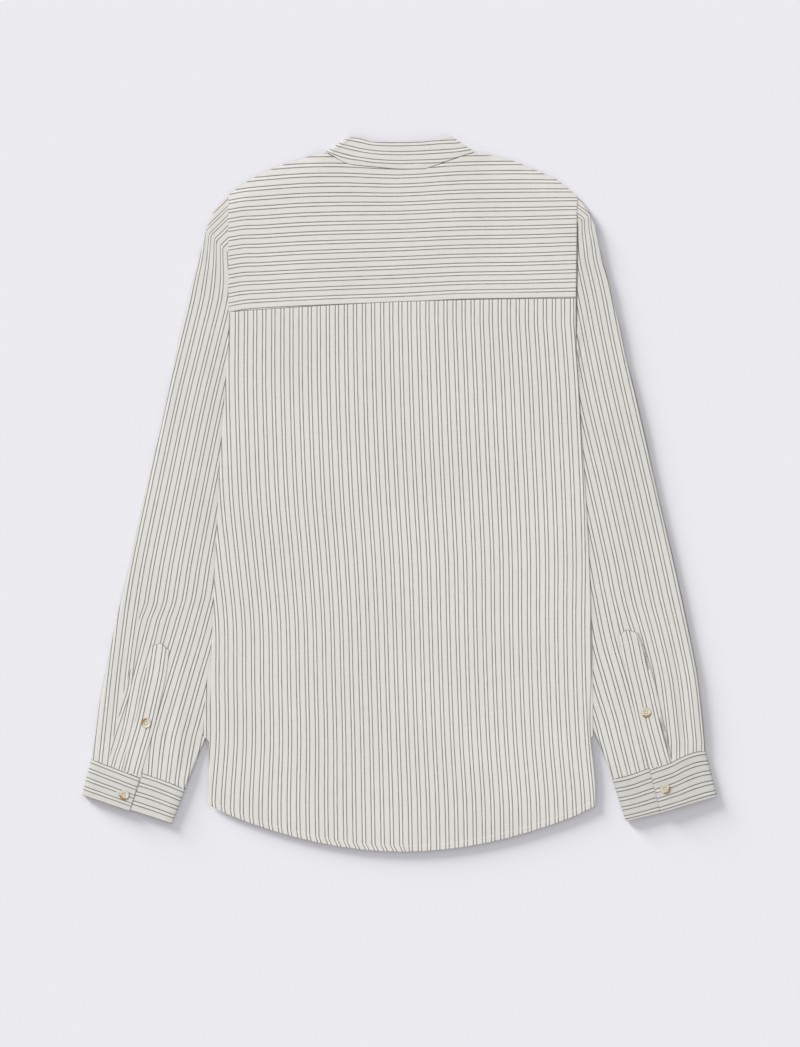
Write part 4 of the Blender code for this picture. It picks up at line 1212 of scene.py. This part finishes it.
def seam_row(rows, v):
    """Number of the row that lies nearest to a place."""
    return int(np.argmin(np.abs(np.array(rows) - v)))


def add_band(name, middle, half, grain, *nodes, tone=1.0, edge=EDGE_ROUND):
    """A closed band as a piece, and its outer face."""
    outer, inner = band_faces(middle, half, edge)
    places = np.concatenate([outer, inner[-2::-1]])
    builder = cloth_mesh(places, np.concatenate([grain, grain[-2::-1]]), None, closed=True)
    # A tone below 1 darkens a copy of the cloth's colours as painted shade
    cloth = shirting() if tone == 1.0 else shirting("painted_shade_shirting_" + name, tone)
    return add_piece(name, builder, cloth, "shirting", *nodes), outer


def neck_curve():
    """Radius of the front neckline's round part and the length of its straight part."""
    depth = NECK_Y - FRONT_NECK_Y
    radius = (NECK_X * math.cos(FOLD_ANGLE) - depth * math.sin(FOLD_ANGLE)) / (1.0 - math.sin(FOLD_ANGLE))
    return radius, (NECK_X - radius * math.cos(FOLD_ANGLE)) / math.sin(FOLD_ANGLE)


def front_neck_point(run):
    """Place on the front neckline's right half, run along it from its middle, and its angle."""
    radius, _ = neck_curve()
    if run < 0:
        return run, FRONT_NECK_Y, math.pi / 2
    angle = max(FOLD_ANGLE, math.pi / 2 - run / radius)
    rest = max(0.0, run - radius * (math.pi / 2 - FOLD_ANGLE))
    x = radius * math.cos(angle) + rest * math.sin(FOLD_ANGLE)
    return x, FRONT_NECK_Y + radius * (1.0 - math.sin(angle)) + rest * math.cos(FOLD_ANGLE), angle


def front_rulings(side, lift):
    """Rulings of the collar's front half on one side, from its end to its fold."""
    radius, straight = neck_curve()
    arc = radius * (math.pi / 2 - FOLD_ANGLE)
    runs = [-COLLAR_OVERLAP, -4.0]
    runs += [arc * step / 10 for step in range(10)]
    runs += [arc + (straight - 2.0) * step / 5 for step in range(6)]
    rulings = []
    for run in runs:
        x, y, angle = front_neck_point(run)
        height = BAND_SOLID / 2 + lift * ease(STRIP_HALF + STRIP_RAMP, STRIP_HALF, abs(x))
        top_x = x * side - math.cos(angle) * side * COLLAR_HEIGHT
        rulings.append((x * side, y, top_x, y + math.sin(angle) * COLLAR_HEIGHT, height))
    return rulings


def fold_rulings(row, side):
    """Rulings round a fold of the collar, from the back half down to the front half."""
    upper, lower = COLLAR_UNDER + BAND_SOLID / 2, BAND_SOLID / 2
    rulings = []
    for step in range(7):
        angle = math.pi * step / 6
        shift = COLLAR_BULGE + BAND_SOLID / 2 - COLLAR_BULGE * math.sin(angle)
        shift_x, shift_y = -math.sin(FOLD_ANGLE) * side * shift, -math.cos(FOLD_ANGLE) * shift
        height = (upper + lower) / 2 + (upper - lower) / 2 * math.cos(angle)
        rulings.append((row.seam_x + shift_x, row.seam_y + shift_y,
                        row.top_x + shift_x, row.top_y + shift_y, height))
    return rulings


def make_collar():
    rulings = front_rulings(-1.0, STRIP_LIFT)
    rulings += fold_rulings(COLLAR_BACK[0], -1.0)[::-1]
    rulings += [(*row, COLLAR_UNDER + BAND_SOLID / 2) for row in COLLAR_BACK[1:-1]]
    rulings += fold_rulings(COLLAR_BACK[-1], 1.0)
    rulings += front_rulings(1.0, STRIP_LIFT + BAND_SOLID + 0.3)[::-1]
    centres = [((row[0] + row[2]) / 2, (row[1] + row[3]) / 2, row[4]) for row in rulings]
    columns, run = smooth_rows(rulings, centres, 1.3)
    rows = shares(COLLAR_CLOTH, FINE_BAND, FINE_BAND, 2.2)
    middle, grain, shown = grids(rows, columns, 3, 2, 1)
    for j, v in enumerate(rows):
        for i, (seam_x, seam_y, top_x, top_y, height) in enumerate(columns):
            x, y = mix(seam_x, top_x, v), mix(seam_y, top_y, v)
            below = math.hypot(top_x - seam_x, top_y - seam_y) * (1.0 - v)
            wave = 0.12 * drift(run[i], 0.0, 50.0, 24.0) * math.sin(math.pi * v)
            height += (wave - 0.4 * ease(4.5, 0.0, COLLAR_CLOTH * v)) * ease(0.8, 4.0, height)
            middle[j, i] = x, y, height
            grain[j, i] = (below - COLLAR_FIRST) / COLLAR_PAIR, run[i]
            shown[j, i] = through(read(COLLAR_STRIPES, x), COLLAR_PAIRS, y)
    gain = shown[..., 0] - grain[..., 0]
    upper = np.flatnonzero(middle[len(rows) // 2, :, 2] > (COLLAR_UNDER + BAND_SOLID) / 2)
    for i in range(len(columns)):
        nearest = min(upper[-1], max(upper[0], i))
        share = ease(40.0, 0.0, abs(run[i] - run[nearest]))
        grain[:, i, 0] += gain[:, nearest] * share
    grain[..., 0] *= in_mm("repeat")
    piece, outer = add_band("collar_band", middle, BAND_WALL / 2, grain, "collar")
    inset = COLLAR_INSET / COLLAR_CLOTH
    add_thread("collar_stitches", seam_bits([outer[seam_row(rows, v), 3:-3] for v in (inset, 1.0 - inset)]))
    return piece


def cuff_laps(cuff):
    """Round the cuff's section from its free edge to its tucked one, with the shares at its hem."""
    laps = cuff.outer_part[::-1] + CUFF_UNDER + cuff.inner_part[::-1]
    turn = cuff.overlap_bottom - cuff.overlap_top
    result = []
    for number, lap in enumerate(laps):
        if number < len(cuff.outer_part):
            at_hem = lap.across + turn * lap.across / cuff.overlap_top
        elif number >= len(laps) - len(cuff.inner_part):
            at_hem = lap.across + turn * (1.0 - lap.across) / (1.0 - cuff.overlap_top)
        else:
            at_hem = lap.across
        result.append((lap.across, at_hem, lap.height, lap.top, lap.bottom))
    return result


def make_cuff(node, cuff, tone):
    top_outer, top_inner = Vector(cuff.top_outer), Vector(cuff.top_inner)
    bottom_outer, bottom_inner = Vector(cuff.bottom_outer), Vector(cuff.bottom_inner)
    width = (top_inner - top_outer).length
    down = (bottom_outer - top_outer).normalized()
    knots = cuff_laps(cuff)
    columns, run = smooth_rows(knots, [(knot[0] * width, knot[2]) for knot in knots], 1.1)
    height = (bottom_outer - top_outer).length
    rows = shares(height, FINE_BAND, FINE_BAND, 2.4)
    middle, grain = grids(rows, columns, 3, 2)
    for i, (top_share, bottom_share, z, top_dip, bottom_dip) in enumerate(columns):
        top = top_outer.lerp(top_inner, top_share) + down * top_dip
        bottom = bottom_outer.lerp(bottom_inner, bottom_share) + down * bottom_dip
        for j, v in enumerate(rows):
            place = top.lerp(bottom, v)
            wave = 0.18 * drift(run[i], v * height, 60.0 + width, 26.0, 1.0)
            lift = wave * ease(1.0, 4.0, z) * ease(0.0, 6.0, run[-1] - run[i])
            middle[j, i] = place.x, place.y, max(z, CUFF_WALL / 2 + 0.02) + lift
            pairs = (v * mix((bottom - top).length, height, v) - CUFF_FIRST) / cuff.stripe
            grain[j, i] = pairs * in_mm("repeat"), run[i]
    piece, outer = add_band(node + "_cloth", middle, CUFF_WALL / 2, grain, node, tone=tone)
    inset = CUFF_INSET / height
    lines = [outer[seam_row(rows, v), 3:-16] for v in (inset, 1.0 - inset)]
    return piece, seam_bits(lines + [outer[3:-3, seam_row(run, CUFF_INSET)]])


def left_placket_stripe(u, _):
    return u * 20.8 - 2.8


def right_placket_stripe(u, width):
    """Beside its outer edge the cloth turns, and shows a line of its own."""
    return 14.72 if u * width < 1.9 else (1.0 - u) * width - 10.0


def make_placket(node, rows_table, stripe, tone):
    """A pointed strip sewn on the sleeve over its slit."""
    solid = Solid(node)
    knots = [tuple(row) for row in rows_table]
    centres = [((row[0] + row[2]) / 2, (row[1] + row[3]) / 2) for row in knots]
    rows, run = smooth_rows(knots, centres, 1.8)
    columns = shares(PLACKET_WIDTH, FINE_BAND, FINE_BAND, STRIP_CELL)
    middle, grain = grids(rows, columns, 3, 2)
    ahead = (Vector(knots[0][:2]) - Vector(knots[1][:2])).normalized()
    for j, row in enumerate(rows):
        inside = max(0.0, 1.0 - (run[-1] - run[j]) / PLACKET_TUCK)
        outer, inner = (Vector(edge) - ahead * PLACKET_REACH * inside for edge in (row[:2], row[2:]))
        width = (inner - outer).length
        point = PLACKET_POINT * max(0.0, 1.0 - run[j] / PLACKET_SHOULDER)
        for i, u in enumerate(columns):
            x, y = outer.lerp(inner, u) + ahead * (1.0 - abs(2.0 * u - 1.0)) * point
            middle[j, i] = x, y, solid.top(*outer.lerp(inner, mix(u, 0.5, 0.04)))
            grain[j, i] = stripe(u, width), run[j]
    fill_gaps(middle[..., 2])
    middle[..., 2] = soften(middle[..., 2], 12) - PLACKET_WALL / 2
    middle[..., 2] -= 0.55 * np.array([ease(7.0, 3.0, run[-1] - at) for at in run])[:, None]
    piece, outer = add_band(node + "_cloth", middle, PLACKET_WALL / 2, grain, node, tone=tone, edge=1.1)
    if outer[..., 2].mean() < middle[..., 2].mean():
        outer = 2.0 * middle - outer
    inset = PLACKET_INSET
    ring = [outer[j, inset] for j in range(len(rows) - 3, inset + 1, -1)]
    ring += [outer[inset + 1, i] for i in range(inset, len(columns) - inset)]
    ring += [outer[j, -1 - inset] for j in range(inset + 1, len(rows) - 2)]
    return piece, seam_bits([ring])


# Sewing: every stitch is a small capsule, joined into one mesh for each seam

Bit = namedtuple("Bit", "place along length thick")
# Length of a buttonhole and the distance between the stitches along its lips
BUTTONHOLE = 13.0
LIP_PITCH = 0.4


def seam_bits(runs, lift=STITCH_LIFT):
    """Stitches at an even pitch along runs of places."""
    settings = settings_of("sewing")
    pitch, length, thick = settings.pitch / MM, settings.length / MM, settings.thread / MM
    bits = []
    for run in runs:
        run = np.array(run)
        at = distances(run)
        count = max(1, int(at[-1] / pitch))
        for number in range(count):
            ends = [(number + 0.5) * at[-1] / count + shift for shift in (-length / 2, length / 2)]
            first, second = [np.array([np.interp(end, at, run[:, axis]) for axis in range(3)])
                             for end in ends]
            place = (first + second) / 2 + np.array((0.0, 0.0, lift))
            place[2] = max(place[2], thick / 2)
            bits.append(Bit(place, second - first, length, thick))
    return bits


def add_thread(name, bits):
    one = bmesh.new()
    bmesh.ops.create_uvsphere(one, u_segments=6, v_segments=4, radius=0.5)
    shape = bpy.data.meshes.new("one_stitch")
    one.to_mesh(shape)
    one.free()
    builder = bmesh.new()
    for bit in bits:
        turn = Vector(bit.along).to_track_quat("X", "Z").to_matrix().to_4x4()
        size = Matrix.Diagonal((bit.length * MM, bit.thick * MM, bit.thick * MM, 1.0))
        copy = shape.copy()
        copy.transform(Matrix.Translation(metres(bit.place)) @ turn @ size)
        builder.from_mesh(copy)
        bpy.data.meshes.remove(copy)
    bpy.data.meshes.remove(shape)
    return add_piece(name, builder, thread_material(), "shirting")


def buttonhole_bits(button, cloth, angle, shift=0.0):
    """Close stitches across both lips of the slit below a button, and its bar ends."""
    low, high = (Vector(corner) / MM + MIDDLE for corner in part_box(button))
    along, beside = heading(angle)
    centre = (low + high) / 2 + along * math.copysign(shift, along.x * shift)
    surface = Solid(cloth)
    bits = []

    def sew(place, width, thick):
        height = surface.top(place.x, place.y)
        if not math.isnan(height):
            bits.append(Bit(Vector((place.x, place.y, height + 0.08)), beside, width, thick))

    half = BUTTONHOLE / 2
    steps = int(BUTTONHOLE / LIP_PITCH)
    for step in range(steps + 1):
        place = centre + along * mix(-half, half, step / steps)
        for sign in (-1.0, 1.0):
            sew(place + beside * sign * 0.8, 1.5, 0.46)
    for sign in (-1.0, 1.0):
        for step in range(3):
            sew(centre + along * sign * (half + 0.3 * step - 0.2), 3.2, 0.48)
    return bits


# Buttons

def button_mesh(amber_angle):
    """A turned four-hole button, face upwards on the zero height, with its amount of amber."""
    settings = settings_of("buttons")
    radius, thick = settings.diameter / 2, settings.thick
    builder = bmesh.new()
    floor_radius, floor = radius * 0.66, thick * 0.72
    reach = settings.spread * 0.9
    spots = [heading(math.tau * (step + 0.5) / 4)[0] * reach for step in range(4)]
    circles = [(settings.rim, floor_radius, Vector())] + [(12, settings.hole / 2, spot) for spot in spots]
    for height in (floor, 0.0):
        rings = [bmesh.ops.create_circle(builder, segments=segments, radius=size,
                                         matrix=Matrix.Translation(spot))["verts"]
                 for segments, size, spot in circles]
        verts = [vert for ring in rings for vert in ring]
        bmesh.ops.translate(builder, verts=verts, vec=(0.0, 0.0, height))
        edges = list({edge for vert in verts for edge in vert.link_edges})
        bmesh.ops.triangle_fill(builder, use_beauty=True, edges=edges)
    for spot in spots:
        rim = [edge for edge in builder.edges if edge.is_boundary
               and all((vert.co.xy - spot.xy).length < settings.hole for vert in edge.verts)]
        bmesh.ops.bridge_loops(builder, edges=rim)
    profile = ((floor_radius, floor), (radius * 0.72, thick * 0.78), (radius * 0.79, thick * 0.95),
               (radius * 0.87, thick), (radius * 0.95, thick * 0.9), (radius, thick * 0.55),
               (radius * 0.96, thick * 0.2), (radius * 0.85, 0.0), (floor_radius, 0.0))
    verts = [bmesh.ops.create_vert(builder, co=(x, 0.0, z))["vert"][0] for x, z in profile]
    edges = [builder.edges.new(pair) for pair in zip(verts, verts[1:])]
    bmesh.ops.spin(builder, geom=verts + edges, cent=(0.0, 0.0, 0.0), axis=(0.0, 0.0, 1.0),
                   angle=math.tau, steps=settings.rim, use_merge=True)
    bmesh.ops.remove_doubles(builder, verts=builder.verts, dist=1e-6)
    bmesh.ops.recalc_face_normals(builder, faces=builder.faces)
    layer = builder.verts.layers.float.new("amber")
    towards = heading(amber_angle)[0].xy
    for vert in builder.verts:
        share = vert.co.xy.dot(towards) / radius
        vert[layer] = ease(-0.05, 0.7, share) * ease(0.35, 0.8, vert.co.xy.length / radius)
    return builder


def add_button(node, amber, face_down=False):
    low, high = (Vector(corner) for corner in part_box(node))
    place = Vector(((low.x + high.x) / 2, (low.y + high.y) / 2, high.z if face_down else low.z))
    builder = button_mesh(math.radians(amber))
    if face_down:
        bmesh.ops.rotate(builder, verts=builder.verts, matrix=Matrix.Rotation(math.pi, 3, "X"))
    bmesh.ops.translate(builder, verts=builder.verts, vec=place)
    add_piece(node + "_horn", builder, horn_material(), "buttons", node)
    side = -1.0 if face_down else 1.0
    settings = settings_of("buttons")
    centre = place + Vector((0.0, 0.0, side * settings.thick * 0.76))
    here = centre / MM + MIDDLE
    reach = settings.spread / MM * 1.8
    bits = []
    for turn in (math.pi / 4, -math.pi / 4):
        along, beside = heading(turn)
        bits += [Bit(here + beside * shift + Vector((0.0, 0.0, side * 0.12)), along, reach, 0.34)
                 for shift in (-0.22, 0.0, 0.22)]
    return bits


# Studio

def make_floor():
    builder = bmesh.new()
    bmesh.ops.create_grid(builder, x_segments=8, y_segments=8, size=4.0)
    bmesh.ops.translate(builder, verts=builder.verts, vec=(0.0, 0.0, -0.0002))
    mesh = bpy.data.meshes.new("floor")
    builder.to_mesh(mesh)
    builder.free()
    mesh.materials.append(paper_material())
    floor = add_object("floor", mesh)


def add_sun(name, share, height, size, link_state):
    """A sun that gives a level surface this share of its light, on the floor alone or on all the rest."""
    lamp = bpy.data.lights.new(name, "SUN")
    lamp.energy = share * math.pi / math.sin(height)
    lamp.angle = size
    sun = add_object(name, lamp)
    way = Vector(LIGHT_RUNS).normalized() * math.cos(height)
    sun.rotation_euler = (way - Vector((0.0, 0.0, math.sin(height)))).to_track_quat("-Z", "Y").to_euler()
    sun.location = (-2.0, 2.0, 2.0)
    receivers = bpy.data.collections.new(name + "_receivers")
    receivers.objects.link(bpy.data.objects["floor"])
    sun.light_linking.receiver_collection = receivers
    receivers.collection_objects[0].light_linking.link_state = link_state


def make_light():
    """Soft daylight all round and a key light; the floor's own light stands low, for long soft shadows."""
    settings = settings_of("stage")
    bpy.context.scene.view_settings.view_transform = "Standard"
    world = bpy.context.scene.world or bpy.data.worlds.new("studio")
    bpy.context.scene.world = world
    world.use_nodes = True
    background = world.node_tree.nodes["Background"]
    background.inputs["Color"].default_value = (1.0, 1.0, 1.0, 1.0)
    background.inputs["Strength"].default_value = settings.sky
    add_sun("low_light", settings.low_light, settings.low_height, settings.low_size, "INCLUDE")
    add_sun("key_light", settings.key_light, settings.key_height, settings.key_size, "EXCLUDE")


def make_camera():
    settings = settings_of("stage")
    data = bpy.data.cameras.new("camera")
    data.sensor_fit = "VERTICAL"
    data.sensor_height = 24.0
    data.lens = data.sensor_height * settings.distance / (VIEW_HEIGHT * MM)
    data.clip_end = 50.0
    camera = add_object("camera", data)
    camera.location = (VIEW_X * MM, VIEW_Y * MM, settings.distance)
    bpy.context.scene.camera = camera


# Operators

class SHIRT_OT_back(Operator):
    """Back panel with its rolled hem"""
    bl_idname = "shirt.back"
    bl_label = "Back"

    def execute(self, context):
        make_back()
        return {"FINISHED"}


class SHIRT_OT_yoke(Operator):
    """Yoke across the shoulders"""
    bl_idname = "shirt.yoke"
    bl_label = "Yoke"

    def execute(self, context):
        make_yoke()
        return {"FINISHED"}


class SHIRT_OT_fronts(Operator):
    """Both fronts and the button band"""
    bl_idname = "shirt.fronts"
    bl_label = "Fronts"

    def execute(self, context):
        for outline, flat, area in ((FRONT_LEFT, (0.19, 0.76), 0.131), (FRONT_RIGHT, (0.22, 0.76), 0.154)):
            make_front(outline)
        make_button_band()
        return {"FINISHED"}


class SHIRT_OT_sleeves(Operator):
    """Both sleeves, flattened tubes with pleats above the cuffs"""
    bl_idname = "shirt.sleeves"
    bl_label = "Sleeves"

    def execute(self, context):
        for sleeve in [make_sleeve(LEFT_SLEEVE), make_sleeve(RIGHT_SLEEVE)]:
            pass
        return {"FINISHED"}


class SHIRT_OT_plackets(Operator):
    """Pointed strips over the sleeves' slits"""
    bl_idname = "shirt.plackets"
    bl_label = "Sleeve Plackets"

    def execute(self, context):
        left, left_bits = make_placket("placket_left", LEFT_PLACKET, left_placket_stripe, 1.0)
        right, right_bits = make_placket("placket_right", RIGHT_PLACKET, right_placket_stripe, RIGHT_PAINTED_SHADE)
        left_bits += buttonhole_bits("button_placket_left", left, math.radians(74.0))
        right_bits += buttonhole_bits("button_placket_right", right, math.radians(105.0))
        add_thread("placket_left_stitches", left_bits)
        add_thread("placket_right_stitches", right_bits)
        return {"FINISHED"}


class SHIRT_OT_cuffs(Operator):
    """Cuffs wrapped round the ends of the sleeves, with buttonholes"""
    bl_idname = "shirt.cuffs"
    bl_label = "Cuffs"

    def execute(self, context):
        for node, cuff, tone, height in (("cuff_left", LEFT_CUFF, LEFT_CUFF_PAINTED_SHADE, 0.041),
                                         ("cuff_right", RIGHT_CUFF, RIGHT_CUFF_PAINTED_SHADE, 0.052)):
            piece, bits = make_cuff(node, cuff, tone)
            run = Vector(cuff.top_inner) - Vector(cuff.top_outer)
            bits += buttonhole_bits("button_" + node, piece, math.atan2(run.y, run.x), -1.8)
            add_thread(node + "_stitches", bits)
        return {"FINISHED"}


class SHIRT_OT_collar(Operator):
    """Standing band collar, pressed flat"""
    bl_idname = "shirt.collar"
    bl_label = "Collar"

    def execute(self, context):
        make_collar()
        return {"FINISHED"}


class SHIRT_OT_buttons(Operator):
    """Horn buttons with their thread"""
    bl_idname = "shirt.buttons"
    bl_label = "Buttons"

    def execute(self, context):
        bits = []
        for button in SLEEVE_BUTTONS:
            bits += add_button(button.node, button.amber)
        for number in range(1, 8):
            bits += add_button(f"button_front_{number}", 50.0 * number, face_down=True)
        add_thread("button_threads", bits)
        return {"FINISHED"}


class SHIRT_OT_stage(Operator):
    """Floor, light and camera"""
    bl_idname = "shirt.stage"
    bl_label = "Stage"

    def execute(self, context):
        make_floor()
        make_light()
        make_camera()
        return {"FINISHED"}


class SHIRT_PT_panel(Panel):
    bl_label = "Band Collar Shirt"
    bl_idname = "SHIRT_PT_panel"
    bl_space_type = "VIEW_3D"
    bl_region_type = "UI"
    bl_category = "Shirt"

    def draw(self, context):
        for operator in OPERATORS:
            self.layout.operator(operator.bl_idname)
        for settings in SETTINGS:
            group = getattr(context.scene, settings)
            box = self.layout.box()
            for name in group.__annotations__:
                box.prop(group, name)


OPERATORS = (SHIRT_OT_back, SHIRT_OT_yoke, SHIRT_OT_fronts, SHIRT_OT_sleeves, SHIRT_OT_plackets,
             SHIRT_OT_cuffs, SHIRT_OT_collar, SHIRT_OT_buttons, SHIRT_OT_stage)
SETTINGS = {"shirt_cloth": ClothSettings, "shirt_sewing": SewingSettings,
            "shirt_buttons": ButtonSettings, "shirt_stage": StageSettings}


def register():
    for name, settings in SETTINGS.items():
        bpy.utils.register_class(settings)
        setattr(bpy.types.Scene, name, PointerProperty(type=settings))
    for operator in (*OPERATORS, SHIRT_PT_panel):
        bpy.utils.register_class(operator)


def unregister():
    for operator in reversed((*OPERATORS, SHIRT_PT_panel)):
        bpy.utils.unregister_class(operator)
    for name, settings in reversed(SETTINGS.items()):
        delattr(bpy.types.Scene, name)
        bpy.utils.unregister_class(settings)


def main():
    register()
    for operator in OPERATORS:
        area, name = operator.bl_idname.split(".")
        getattr(getattr(bpy.ops, area), name)()


if __name__ == "__main__":
    main()
